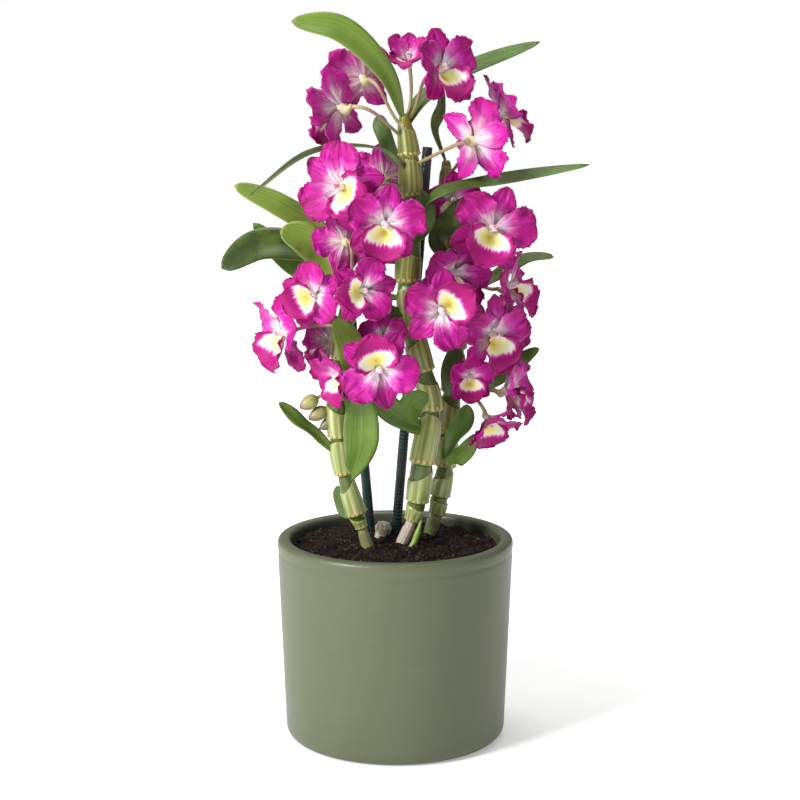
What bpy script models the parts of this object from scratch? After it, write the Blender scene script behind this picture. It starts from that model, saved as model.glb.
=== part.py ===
"""A potted dendrobium orchid: a green ceramic pot, potting mix, three leafy canes, stakes and blooms.

Metres, +Z up, seen from the front along +Y. The origin is the middle of the pot's underside.
Tables of positions are in millimetres, as (x, y, z).
"""

import math

import bmesh
import bpy
from mathutils import Matrix, Vector

MM = 0.001
GAP = 0.0003  # left between pieces that rest on each other

# The pot: a straight wall with a rounded lip and foot.
POT_HEIGHT = 0.1213
POT_TOP_RADIUS = 0.0700
POT_FOOT_RADIUS = 0.0656
POT_WALL = 0.0080
POT_FLOOR = 0.0080
POT_LIP_ROUND = 0.0040
POT_FOOT_ROUND = 0.0070
POT_STEPS = 40

# The potting mix, a solid fill with a lumpy top.
SOIL_LEVEL = 0.1142
SOIL_MOUND = 0.0030
SOIL_LUMP = 0.0012
SOIL_RINGS = 6
SOIL_SPOKES = 24
BURIED = 0.0180  # how far stems and stakes reach below the soil level

STAKE_RADIUS = 0.0031

# Canes: radius at a joint and at the widest of the sheath between two joints.
CANE_SIDES = 7
CANE_STEPS = (0.0, 0.42, 0.80)

# Flower, front view: X to the right, Y towards the back sepal, Z out of the flower.
TEPAL_THICKNESS = 1.1
LIP_ROWS = (0.0, 0.38, 0.76, 1.0)
FLOWER_BACK = -6.0  # where the stalk meets the flower
COLUMN_SIDES = 5
COLUMN = (
    (1.3, 0.0, FLOWER_BACK),
    (2.4, -1.2, -3.0),
    (3.0, 0.0, 0.5),
    (1.9, 0.6, 4.5),
    (2.2, 1.0, 7.5),
    (1.0, 1.0, 9.0),
)
STALK_RADIUS = 1.1
STALK_PARTS = 5

# Tepals: stations from root to tip, length, half width, outline powers p and q, height of the root,
# first slope and curl in degrees, cup across and frill.
SEPAL = dict(
    rows=(0.0, 0.38, 0.80, 1.0), length=23.0, half_width=7.6, p=0.85, q=0.62,
    z=0.0, lift=22, curl=38, cup=0.14, frill=0.5,
)
PETAL = dict(
    rows=(0.0, 0.32, 0.66, 0.90, 1.0), length=23.0, half_width=11.5, p=0.95, q=0.42,
    z=1.6, lift=30, curl=42, cup=0.18, frill=1.4,
)
TEPALS = ((0, SEPAL), (64, PETAL), (-64, PETAL), (134, SEPAL), (-134, SEPAL))

# The lip's stations from root to tip: half width, y, z, how far its sides lean forward and up.
LIP = (
    (2.5, -1.0, 1.0, 2.0, 1.0),
    (8.0, -4.0, 3.5, 7.0, 5.0),
    (13.0, -9.0, 8.0, 6.0, 6.0),
    (11.0, -15.0, 12.0, 3.0, 2.0),
    (2.0, -20.5, 12.5, 0.0, 0.0),
)

# Canes, bottom to top, each joint (x, y, z), with the joint's radius and the sheath's.
CANES = {
    "cane_left": (
        ((-15, -11, 113), 3.5, 3.5),
        ((-20, -11, 129), 3.0, 3.4),
        ((-23, -12, 138), 4.8, 6.2),
        ((-30, -15, 163), 3.7, 5.8),
        ((-33, -18, 186), 5.0, 6.4),
        ((-34, -20, 208), 5.0, 6.4),
        ((-31, -20, 231), 4.8, 6.0),
        ((-28, -18, 253), 4.2, 5.2),
        ((-24, -15, 274), 2.6, 2.6),
    ),
    "cane_middle": (
        ((2, -1, 113), 3.3, 3.4),
        ((10, -1, 131), 3.3, 4.6),
        ((13, -1, 143), 5.4, 6.8),
        ((16, -3, 167), 6.2, 7.8),
        ((21, 1, 198), 5.8, 6.8),
        ((16, 1, 221), 5.6, 7.2),
        ((10, 0, 247), 5.6, 7.4),
        ((7, 0, 274), 5.4, 7.4),
        ((9, 0, 299), 5.4, 7.4),
        ((9, 0, 324), 5.2, 7.0),
        ((8, 0, 347), 5.0, 6.4),
        ((5, 0, 370), 2.6, 2.6),
    ),
    "cane_right": (
        ((19, 21, 113), 2.7, 3.4),
        ((25, 18, 131), 3.8, 4.8),
        ((27, 18, 142), 5.0, 6.2),
        ((30, 18, 160), 4.8, 6.6),
        ((32, 20, 181), 5.0, 6.8),
        ((34, 22, 205), 5.0, 6.8),
        ((36, 24, 231), 5.0, 6.8),
        ((36, 26, 259), 5.0, 6.6),
        ((34, 26, 289), 4.8, 6.4),
        ((31, 27, 318), 4.2, 5.4),
        ((30, 28, 342), 2.4, 2.4),
    ),
}

LEAF_ROWS = (0.0, 0.18, 0.40, 0.64, 0.86, 1.0)
LEAF_THICKNESS = 0.0013

# Leaves: the curve from root to tip, half width, and the way the upper face looks.
LEAVES = {
    "cane_left": (
        (((-28, -15, 157), (-21, -27, 176), (-19, -34, 193), (-20, -38, 216)), 10.5, (-0.1, -1.0, 0.1)),
        (((-32, -18, 172), (-45, -22, 186), (-56, -26, 196), (-67, -30, 207)), 4.5, (-0.5, -0.4, 0.7)),
        (((-33, -20, 195), (-22, -24, 217), (-25, -27, 238), (-34, -33, 257)), 8.5, (-0.1, -1.0, 0.2)),
        (((-22, -11, 133), (-30, -6, 137), (-33, -3, 144), (-34, -1, 152)), 4.0, (-0.6, -0.8, 0.2)),
        (((-25, -15, 270), (-42, -4, 300), (-67, -8, 318), (-92, -14, 330)), 7.5, (-0.3, -0.8, 0.6)),
        (((-26, -16, 262), (-38, -10, 285), (-51, -12, 298), (-66, -16, 304)), 10.0, (-0.3, -0.9, 0.5)),
    ),
    "cane_middle": (
        (((5, -1, 366), (-6, -14, 394), (-30, -22, 417), (-58, -24, 422)), 8.0, (0.3, -0.9, 0.3)),
        (((7, 1, 362), (16, 12, 378), (44, 28, 395), (85, 26, 411)), 7.0, (-0.2, -0.6, 0.8)),
        (((8, 1, 336), (-2, 20, 348), (-7, 30, 360), (-11, 34, 368)), 6.0, (-0.6, -0.8, 0.1)),
        (((8, -2, 335), (-11, -14, 351), (-48, -20, 348), (-83, -26, 324)), 6.5, (0.0, -0.1, 1.0)),
        (((10, -2, 309), (26, -13, 326), (58, 4, 331), (113, 2, 341)), 6.0, (0.0, -0.5, 0.9)),
        (((8, 1, 284), (-45, 6, 291), (-78, 4, 294), (-101, -2, 281)), 10.0, (0.1, -0.9, 0.5)),
        (((9, 1, 262), (-38, 14, 270), (-62, 16, 283), (-84, 18, 306)), 7.0, (0.3, -0.9, 0.3)),
        (((9, 0, 256), (-2, -8, 256), (-12, -10, 258), (-20, -12, 260)), 6.0, (0.0, -0.9, 0.5)),
        (((18, -2, 185), (7, -14, 193), (-4, -22, 202), (-16, -28, 212)), 7.5, (-0.3, -0.9, 0.5)),
        (((18, -2, 183), (9, -12, 192), (9, -17, 203), (19, -20, 210)), 7.5, (0.2, -1.0, 0.2)),
        (((9, -4, 296), (15, -12, 303), (18, -14, 314), (16, -11, 327)), 5.5, (0.4, -0.9, 0.1)),
    ),
    "cane_right": (
        (((30, 27, 340), (23, 30, 360), (26, 34, 372), (28, 36, 384)), 5.0, (0.8, -0.6, 0.1)),
        (((35, 25, 280), (24, 8, 296), (35, -5, 312), (51, -9, 325)), 7.0, (0.3, -0.9, 0.2)),
        (((36, 26, 259), (58, 38, 270), (78, 38, 282), (95, 34, 284)), 6.0, (0.0, -0.5, 0.9)),
        (((33, 21, 200), (57, 34, 207), (72, 36, 218), (87, 34, 229)), 6.0, (0.0, -0.7, 0.7)),
        (((34, 22, 202), (32, 9, 209), (31, 4, 222), (36, 2, 236)), 6.0, (0.5, -0.8, 0.1)),
        (((29, 18, 160), (33, 2, 179), (39, -5, 191), (42, -7, 202)), 7.0, (0.4, -0.9, 0.1)),
        (((28, 18, 150), (33, 4, 163), (41, -3, 173), (48, -5, 184)), 5.5, (0.5, -0.6, 0.6)),
    ),
}

# Buds on the left cane: the tip of each, its length and half width.
BUD_ROOT = (-33, -20, 206)
BUDS = (
    ((-55, -26, 203), 12.0, 4.4),
    ((-50, -24, 196), 12.5, 4.2),
    ((-44, -22, 190), 15.0, 4.2),
)

# Blooms: cane, height on it where the stalk leaves, flower centre, azimuth (0 faces the front,
# 90 the right), elevation, roll (clockwise as seen from its front), size and extra cup in degrees.
BLOOMS = (
    ("cane_middle", 362, (-18, 17, 390), -145, 10, 0, 1.0, 0),
    ("cane_middle", 356, (-30, -15, 374), -115, -5, 20, 1.1, 0),
    ("cane_middle", 368, (8, 2, 399), -10, 50, 0, 0.75, 35),
    ("cane_middle", 366, (24, 0, 394), 40, 15, 0, 1.05, 10),
    ("cane_middle", 340, (44, -8, 355), 140, 5, -78, 1.05, 0),
    ("cane_right", 334, (59, 25, 368), 100, 20, 0, 1.05, 0),
    ("cane_middle", 327, (-29, -26, 330), -20, 0, -60, 1.1, 0),
    ("cane_middle", 304, (-6, -42, 311), 5, -15, 10, 1.0, 0),
    ("cane_right", 312, (33, 14, 321), 10, -15, 0, 0.8, 15),
    ("cane_right", 294, (55, -12, 305), 10, 0, 25, 1.1, 0),
    ("cane_right", 289, (32, -4, 281), 20, -30, 20, 1.0, 10),
    ("cane_left", 262, (-45, -40, 270), -20, 5, 60, 0.85, 10),
    ("cane_left", 268, (-19, -47, 274), 15, 0, 80, 0.85, 10),
    ("cane_left", 248, (-62, -18, 246), -55, -10, 10, 1.05, 0),
    ("cane_middle", 258, (26, -38, 262), 10, 0, -130, 1.0, 0),
    ("cane_left", 236, (-37, 2, 238), -125, -5, 0, 0.85, 0),
    ("cane_left", 224, (-29, -37, 225), -55, -15, -15, 0.85, 20),
    ("cane_middle", 214, (-9, -50, 230), 0, 5, 165, 1.0, 0),
    ("cane_right", 276, (65, 13, 268), 68, 10, -15, 1.0, 0),
    ("cane_right", 230, (54, -10, 244), 40, -10, 0, 1.05, 0),
    ("cane_right", 222, (43, 0, 217), 10, -5, 0, 0.7, 20),
    ("cane_right", 212, (64, 6, 208), 75, 5, 10, 1.05, 10),
    ("cane_right", 203, (54, -10, 195), 35, -45, 0, 0.85, 25),
    ("cane_middle", 248, (-7, -17, 243), 0, 0, 0, 0.65, 0),
    ("cane_middle", 336, (-7, 28, 332), -170, 0, 0, 0.85, 0),
    ("cane_left", 270, (-28, -24, 299), -160, -5, 25, 0.8, 0),
    ("cane_right", 264, (38, 14, 258), 15, -5, -25, 0.68, 10),
    ("cane_right", 244, (65, 40, 244), 115, 0, 0, 0.9, 0),
)


# Helpers for objects and meshes.


def clear_scene():
    for obj in list(bpy.data.objects):
        bpy.data.objects.remove(obj, do_unlink=True)


def new_collection(name):
    collection = bpy.data.collections.new(name)
    bpy.context.scene.collection.children.link(collection)
    return collection


def material(name, colour, roughness, metallic=0.0):
    mat = bpy.data.materials.new(name)
    mat.use_nodes = True
    shader = mat.node_tree.nodes["Principled BSDF"]
    shader.inputs["Base Color"].default_value = (*colour, 1.0)
    shader.inputs["Roughness"].default_value = roughness
    shader.inputs["Metallic"].default_value = metallic
    return mat


def new_object(name, bm, collection, mat=None):
    """A bmesh as an object, its normals made to face out."""
    bmesh.ops.recalc_face_normals(bm, faces=bm.faces)
    mesh = bpy.data.meshes.new(name)
    bm.to_mesh(mesh)
    bm.free()
    if mat:
        mesh.materials.append(mat)
    mesh.shade_smooth()
    mesh.set_sharp_from_angle(angle=math.radians(50))
    obj = bpy.data.objects.new(name, mesh)
    collection.objects.link(obj)
    return obj


def apply_modifiers(obj):
    graph = bpy.context.evaluated_depsgraph_get()
    mesh = bpy.data.meshes.new_from_object(obj.evaluated_get(graph))
    obj.modifiers.clear()
    old = obj.data
    obj.data = mesh
    bpy.data.meshes.remove(old)


def drop_scraps(obj):
    """Keeps the largest of the bodies that a union left."""
    bm = bmesh.new()
    bm.from_mesh(obj.data)
    loose = set(bm.verts)
    bodies = []
    while loose:
        body = {loose.pop()}
        reached = list(body)
        while reached:
            vert = reached.pop()
            for link in vert.link_edges:
                other = link.other_vert(vert)
                if other in loose:
                    loose.remove(other)
                    body.add(other)
                    reached.append(other)
        bodies.append(body)
    bodies.sort(key=len)
    for body in bodies[:-1]:
        bmesh.ops.delete(bm, geom=list(body), context="VERTS")
    bm.to_mesh(obj.data)
    bm.free()


def fuse(obj, others):
    """Joins every object of the collection others to obj, and removes them."""
    union = obj.modifiers.new("fuse", "BOOLEAN")
    union.operation = "UNION"
    union.operand_type = "COLLECTION"
    union.collection = others
    union.solver = "EXACT"
    bpy.context.view_layer.update()
    apply_modifiers(obj)
    drop_scraps(obj)
    for other in list(others.objects):
        bpy.data.objects.remove(other, do_unlink=True)
    bpy.data.collections.remove(others)


def rings_mesh(rings):
    """A closed tube through rings of points, with a fan of triangles at each end."""
    bm = bmesh.new()
    loops = [[bm.verts.new(p) for p in ring] for ring in rings]
    for low, high in zip(loops, loops[1:]):
        for i in range(len(low)):
            j = (i + 1) % len(low)
            bm.faces.new((low[i], low[j], high[j], high[i]))
    bm.faces.new(loops[0][::-1])
    bm.faces.new(loops[-1])
    bmesh.ops.triangulate(bm, faces=bm.faces)
    return bm


def frames_along(points):
    """Tangent, side and up at each point of a path, turned as little as possible from one to the next."""
    frames = []
    side = None
    for i, point in enumerate(points):
        before = points[max(i - 1, 0)]
        after = points[min(i + 1, len(points) - 1)]
        tangent = (after - before).normalized()
        if side is None:
            side = tangent.orthogonal().normalized()
        side = (side - tangent * side.dot(tangent)).normalized()
        frames.append((point, tangent, side, tangent.cross(side)))
    return frames


def tube_mesh(points, radii, sides):
    rings = []
    for (point, _, side, up), radius in zip(frames_along(points), radii):
        ring = []
        for i in range(sides):
            a = 2 * math.pi * i / sides
            ring.append(point + (side * math.cos(a) + up * math.sin(a)) * radius)
        rings.append(ring)
    return rings_mesh(rings)


def spline(points, t):
    """A smooth curve through the points, t from 0 to 1."""
    points = [Vector(p) for p in points]
    first = points[0] * 2 - points[1]
    last = points[-1] * 2 - points[-2]
    padded = [first] + points + [last]
    place = min(t, 0.99999) * (len(points) - 1)
    i = int(place)
    f = place - i
    a, b, c, d = padded[i : i + 4]
    return 0.5 * (
        2 * b
        + (c - a) * f
        + (2 * a - 5 * b + 4 * c - d) * f * f
        + (3 * b - a - 3 * c + d) * f ** 3
    )


def blade_mesh(middle, normals, across, thickness):
    """A closed blade. middle[row][column] is a grid of points; the last row is the tip, the outline is thin.

    The two faces share the outline and are split into triangles alike.
    """
    bm = bmesh.new()
    rows = len(middle)
    last = across - 1
    rim = {}
    faces = []
    for level in (1, -1):
        grid = []
        for r in range(rows):
            line = []
            for c in range(across):
                on_rim = r in (0, rows - 1) or c in (0, last)
                if r == rows - 1:
                    key = (r, 0)
                elif on_rim:
                    key = (r, c)
                else:
                    key = (r, c, level)
                if key not in rim:
                    lift = 0.0 if on_rim else 0.5 * thickness * level
                    point = middle[r][c if r < rows - 1 else last // 2]
                    rim[key] = bm.verts.new(point + normals[r][c] * lift)
                line.append(rim[key])
            grid.append(line)
        for r in range(rows - 1):
            for c in range(last):
                quad = (grid[r][c], grid[r][c + 1], grid[r + 1][c + 1], grid[r + 1][c])
                # The split runs towards the middle line, on both halves.
                if c < last / 2:
                    halves = ((0, 1, 2), (0, 2, 3))
                else:
                    halves = ((0, 1, 3), (1, 2, 3))
                for half in halves:
                    corners = [quad[i] for i in half]
                    if len(set(corners)) == 3:
                        faces.append(corners if level > 0 else corners[::-1])
    for corners in faces:
        bm.faces.new(corners)
    return bm


def grid_normals(points):
    """The normal at each point of a grid, from its neighbours."""
    rows, columns = len(points), len(points[0])
    normals = []
    for r in range(rows):
        line = []
        for c in range(columns):
            down = points[min(r + 1, rows - 1)][c] - points[max(r - 1, 0)][c]
            along = points[r][min(c + 1, columns - 1)] - points[r][max(c - 1, 0)]
            normal = along.cross(down)
            line.append(normal.normalized() if normal.length > 1e-12 else Vector((0, 0, 1)))
        normals.append(line)
    return normals


# The flower, in millimetres until it is placed.


def tepal_point(kind, turn, extra_cup, t, v):
    """A point of a tepal's middle surface, t from root to tip and v from edge to edge."""
    lift = math.radians(kind["lift"] + extra_cup)
    curl = math.radians(kind["curl"])
    slope = lift - curl * t
    length = kind["length"]
    reach = 1.0 + length * (math.sin(lift) - math.sin(slope)) / curl
    height = kind["z"] + length * (math.cos(slope) - math.cos(lift)) / curl
    peak = kind["p"] / (kind["p"] + kind["q"])
    largest = peak ** kind["p"] * (1 - peak) ** kind["q"]
    width = 0.0
    if 0 < t < 1:
        width = kind["half_width"] * t ** kind["p"] * (1 - t) ** kind["q"] / largest
    width = max(width, 1.6 * (1 - t))
    a = math.radians(turn)
    outward = Vector((math.sin(a), math.cos(a), 0))
    side = Vector((math.cos(a), -math.sin(a), 0))
    normal = outward * -math.sin(slope) + Vector((0, 0, math.cos(slope)))
    wave = kind["frill"] * math.sin(2 * math.pi * (2.4 * t + 0.15 * v)) * v * v
    return (
        outward * reach
        + Vector((0, 0, height))
        + side * (width * v)
        + normal * (kind["cup"] * width * v * v + wave)
    )


def tepal_mesh(kind, turn, extra_cup):
    points = [[tepal_point(kind, turn, extra_cup, t, v) for v in (-1, 0, 1)] for t in kind["rows"]]
    return blade_mesh(points, grid_normals(points), 3, TEPAL_THICKNESS)


def lip_point(u, v):
    """A point of the lip: a scoop whose sides rise round the column and whose tip turns down."""
    place = min(u, 0.99999) * (len(LIP) - 1)
    i = int(place)
    f = place - i
    half_width, y, z, forward, up = (a + (b - a) * f for a, b in zip(LIP[i], LIP[i + 1]))
    bend = v * v
    return Vector((half_width * v, y + up * bend, z + forward * bend))


def lip_mesh():
    points = [[lip_point(u, v) for v in (-1, -0.5, 0, 0.5, 1)] for u in LIP_ROWS]
    return blade_mesh(points, grid_normals(points), 5, TEPAL_THICKNESS)


def column_mesh():
    """The ovary, the chin bulging below it and the column with its cap, along Z."""
    rings = []
    for radius, y, z in COLUMN:
        ring = []
        for i in range(COLUMN_SIDES):
            a = 2 * math.pi * i / COLUMN_SIDES
            ring.append(Vector((radius * math.cos(a), y + radius * math.sin(a), z)))
        rings.append(ring)
    return rings_mesh(rings)


def flower_mesh(extra_cup):
    """One flower as a closed body: ovary and column, five tepals and the lip."""
    parts = bpy.data.collections.new("flower_parts")
    bpy.context.scene.collection.children.link(parts)
    body = new_object("flower", column_mesh(), bpy.context.scene.collection)
    for turn, kind in TEPALS:
        new_object("tepal", tepal_mesh(kind, turn, extra_cup), parts)
    new_object("lip", lip_mesh(), parts)
    fuse(body, parts)
    mesh = body.data
    bpy.data.objects.remove(body)
    mesh.transform(Matrix.Scale(MM, 4))
    return mesh


def flower_matrix(centre, azimuth, elevation, roll, size):
    az, el = math.radians(azimuth), math.radians(elevation)
    out = Vector((math.sin(az) * math.cos(el), -math.cos(az) * math.cos(el), math.sin(el)))
    right = Vector((0, 0, 1)).cross(out).normalized()
    up = out.cross(right)
    turned = Matrix.Rotation(-math.radians(roll), 3, "Z")
    basis = Matrix((right, up, out)).transposed() @ turned
    return Matrix.Translation(Vector(centre) * MM) @ (basis * size).to_4x4()


# The pieces.


def make_pot(collection, mat):
    """The wall and floor as one profile, from the middle of the inside up, over the lip and down."""
    inner_top = POT_TOP_RADIUS - POT_WALL
    inner_foot = POT_FOOT_RADIUS - POT_WALL
    profile = [(0.0, POT_FLOOR), (inner_foot - 0.005, POT_FLOOR), (inner_foot, POT_FLOOR + 0.005)]
    lip_middle = POT_TOP_RADIUS - POT_LIP_ROUND
    lip_z = POT_HEIGHT - POT_LIP_ROUND
    profile.append((inner_top, lip_z))
    for i in range(1, 6):
        a = math.pi * (1 - i / 6)
        profile.append((lip_middle + POT_LIP_ROUND * math.cos(a), lip_z + POT_LIP_ROUND * math.sin(a)))
    profile.append((POT_TOP_RADIUS, lip_z))
    foot_middle = POT_FOOT_RADIUS - POT_FOOT_ROUND
    for i in range(4):
        a = -math.pi / 2 * i / 3
        profile.append((foot_middle + POT_FOOT_ROUND * math.cos(a), POT_FOOT_ROUND * (1 + math.sin(a))))
    profile.append((0.0, 0.0))
    bm = bmesh.new()
    points = [bm.verts.new((x, 0, z)) for x, z in profile]
    for a, b in zip(points, points[1:]):
        bm.edges.new((a, b))
    mesh = bpy.data.meshes.new("pot")
    bm.to_mesh(mesh)
    bm.free()
    mesh.materials.append(mat)
    pot = bpy.data.objects.new("pot", mesh)
    collection.objects.link(pot)
    screw = pot.modifiers.new("turn", "SCREW")
    screw.axis = "Z"
    screw.steps = POT_STEPS
    screw.render_steps = POT_STEPS
    screw.use_merge_vertices = True
    screw.merge_threshold = 0.00001
    return pot


def soil_height(x, y):
    """The lumpy top of the mix, a little higher in the middle."""
    reach = min(1.0, math.hypot(x, y) / (POT_TOP_RADIUS - POT_WALL))
    lumps = math.sin(190 * x + 1.3) * math.sin(170 * y + 0.4) + 0.7 * math.sin(330 * x - 260 * y)
    return SOIL_LEVEL + SOIL_MOUND * (1 - reach ** 2) + SOIL_LUMP * lumps


def pot_inner_radius(z):
    share = z / POT_HEIGHT
    return POT_FOOT_RADIUS + (POT_TOP_RADIUS - POT_FOOT_RADIUS) * share - POT_WALL


def make_soil(collection, mat, cutters):
    top = pot_inner_radius(SOIL_LEVEL) - 2 * GAP
    floor = POT_FLOOR + GAP
    low = pot_inner_radius(floor) - 0.0055
    shoulder = pot_inner_radius(floor + 0.006) - 0.0011
    bm = bmesh.new()
    rings = []
    for ring in range(1, SOIL_RINGS + 1):
        radius = top * ring / SOIL_RINGS
        line = []
        for i in range(SOIL_SPOKES):
            a = 2 * math.pi * i / SOIL_SPOKES
            x, y = radius * math.cos(a), radius * math.sin(a)
            line.append(bm.verts.new((x, y, soil_height(x, y))))
        rings.append(line)
    for radius, z in ((shoulder, floor + 0.006), (low, floor)):
        rings.append(
            [
                bm.verts.new((radius * math.cos(a), radius * math.sin(a), z))
                for a in (2 * math.pi * i / SOIL_SPOKES for i in range(SOIL_SPOKES))
            ]
        )
    centre = bm.verts.new((0, 0, soil_height(0, 0)))
    for i in range(SOIL_SPOKES):
        j = (i + 1) % SOIL_SPOKES
        bm.faces.new((centre, rings[0][i], rings[0][j]))
        for inner, outer in zip(rings, rings[1:]):
            bm.faces.new((inner[i], outer[i], outer[j], inner[j]))
    bm.faces.new(rings[-1][::-1])
    bmesh.ops.triangulate(bm, faces=bm.faces)
    soil = new_object("potting_mix", bm, collection, mat)
    holes = soil.modifiers.new("holes", "BOOLEAN")
    holes.operation = "DIFFERENCE"
    holes.operand_type = "COLLECTION"
    holes.collection = cutters
    holes.solver = "EXACT"
    return soil


def buried_end(foot, above):
    """Where a stem's axis ends in the soil, in millimetres."""
    foot, above = Vector(foot), Vector(above)
    axis = (above - foot).normalized()
    return foot - axis * (BURIED / MM / axis.z)


def make_hole(foot, above, radius, cutters):
    """A plain hole in the mix, round a stem's buried end."""
    end = buried_end(foot, above)
    axis = (Vector(above) - Vector(foot)).normalized()
    top = Vector(foot) + axis * 12
    wide = radius / math.cos(math.pi / 10) + 0.35
    bm = tube_mesh([(end - axis * 0.35) * MM, top * MM], (wide * MM, wide * MM), 10)
    hole = new_object("hole", bm, cutters)
    hole.hide_render = True
    hole.display_type = "WIRE"


def cane_axis(name):
    """The cane's path and radii from its buried end up, in millimetres."""
    joints = CANES[name]
    foot, above = joints[0][0], joints[1][0]
    axis = (Vector(above) - Vector(foot)).normalized()
    points = [buried_end(foot, above), Vector(foot) + axis * 6]
    radii = [joints[0][1], joints[0][1]]
    for i in range(len(joints) - 1):
        (start, neck, sheath), (end, next_neck, _) = joints[i], joints[i + 1]
        for step in CANE_STEPS:
            if i == 0 and step == 0.0:
                continue
            point = Vector(start).lerp(Vector(end), step)
            swell = math.sin(math.pi * min(1.0, step / 0.9)) ** 0.8 if step else 0.0
            points.append(point)
            radii.append(neck + (next_neck - neck) * step + (sheath - neck) * swell)
    points.append(Vector(joints[-1][0]))
    radii.append(joints[-1][1] * 0.5)
    return points, radii


def point_on_cane(name, height):
    joints = [Vector(joint[0]) for joint in CANES[name]]
    for low, high in zip(joints, joints[1:]):
        if low.z <= height <= high.z:
            return low.lerp(high, (height - low.z) / (high.z - low.z))
    return joints[-1]


def leaf_point(curve, half_width, face, t, v):
    """A point of a strap leaf, folded a little along its midrib."""
    place = spline(curve, t)
    tangent = (spline(curve, min(t + 0.01, 1)) - spline(curve, max(t - 0.01, 0))).normalized()
    side = tangent.cross(Vector(face)).normalized()
    normal = side.cross(tangent)
    profile = (t + 0.03) ** 0.95 * (1 - t) ** 0.55 / 0.390
    width = half_width * min(1.0, profile)
    return place + side * (width * v) + normal * (0.22 * width * abs(v))


def leaf_mesh(curve, half_width, face):
    points = [[leaf_point(curve, half_width, face, t, v) * MM for v in (-1, 0, 1)] for t in LEAF_ROWS]
    return blade_mesh(points, grid_normals(points), 3, LEAF_THICKNESS)


def stalk_curve(cane, height, matrix):
    """A flower's stalk from the cane to just short of the flower's back, in metres."""
    start = point_on_cane(cane, height) * MM
    end = matrix @ Vector((0, 0, (FLOWER_BACK * MM - GAP)))
    back = (matrix.to_3x3() @ Vector((0, 0, -1))).normalized()
    outward = end - start
    outward.z = 0
    reach = (end - start).length
    leave = outward.normalized() * 0.3 * reach + Vector((0, 0, 0.1 * reach))
    handles = (start, start + leave, end + back * 0.4 * reach, end)
    points = []
    for i in range(STALK_PARTS + 1):
        t = i / STALK_PARTS
        a, b, c, d = handles
        points.append(a * (1 - t) ** 3 + b * 3 * t * (1 - t) ** 2 + c * 3 * t * t * (1 - t) + d * t ** 3)
    points[-2] = end + back * 3 * MM
    return points


def stalk_mesh(cane, height, matrix):
    points = stalk_curve(cane, height, matrix)
    return tube_mesh(points, [STALK_RADIUS * MM] * len(points), 5)


def make_buds(parts):
    root = Vector(BUD_ROOT)
    for tip, length, half_width in BUDS:
        tip = Vector(tip)
        crown = tip + Vector((2, 1, 1)).normalized() * length
        middle = root.lerp(crown, 0.5) + Vector((0, 0, 4))
        stem = [root * MM, middle * MM, crown * MM, crown.lerp(tip, 0.3) * MM]
        new_object("bud_stem", tube_mesh(stem, [0.0011] * 4, 5), parts)
        rings = [crown.lerp(tip, f) * MM for f in (0.0, 0.25, 0.6, 0.9, 1.0)]
        radii = [half_width * f * MM for f in (0.4, 0.9, 1.0, 0.5, 0.15)]
        new_object("bud", tube_mesh(rings, radii, 6), parts)


def make_cane(name, collection, mat, blooms):
    """A cane with its leaves, flower stalks and buds, fused into one body."""
    points, radii = cane_axis(name)
    bm = tube_mesh([p * MM for p in points], [r * MM for r in radii], CANE_SIDES)
    cane = new_object(name, bm, collection, mat)
    parts = bpy.data.collections.new(name + "_parts")
    bpy.context.scene.collection.children.link(parts)
    for curve, half_width, face in LEAVES[name]:
        new_object("leaf", leaf_mesh(curve, half_width, face), parts)
    for cane_name, height, matrix in blooms:
        if cane_name == name:
            new_object("stalk", stalk_mesh(name, height, matrix), parts)
    if name == "cane_left":
        make_buds(parts)
    fuse(cane, parts)
    return cane


def make_stake(name, foot, top, collection, mat, cutters):
    end = buried_end(foot, top)
    bm = tube_mesh([end * MM, Vector(top) * MM], (STAKE_RADIUS, STAKE_RADIUS), 10)
    new_object(name, bm, collection, mat)
    make_hole(foot, top, STAKE_RADIUS / MM, cutters)


def make_stub(collection, mat, cutters):
    """The dry stub of an old cane, torn off just above the mix."""
    foot, top = (-9, 18, 113), (-7, 18, 123)
    end = buried_end(foot, top)
    points = [end, Vector((-8.4, 18, 116)), Vector((-7.6, 18, 120)), Vector((-7, 18, 125))]
    bm = tube_mesh([p * MM for p in points], (0.0042, 0.0042, 0.0050, 0.0034), 8)
    new_object("old_cane_stub", bm, collection, mat)
    make_hole(foot, top, 4.2, cutters)


def make_shoot(collection, mat, cutters):
    """A short new shoot at the foot of the middle cane."""
    foot, top = (8, -13, 113), (12, -11, 122)
    end = buried_end(foot, top)
    points = [end, Vector((9.3, -12.3, 116)), Vector((12, -11, 122)), Vector((15.5, -9.5, 133))]
    bm = tube_mesh([p * MM for p in points], (0.0018, 0.0018, 0.0019, 0.0005), 7)
    new_object("new_shoot", bm, collection, mat)
    make_hole(foot, top, 1.8, cutters)


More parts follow.
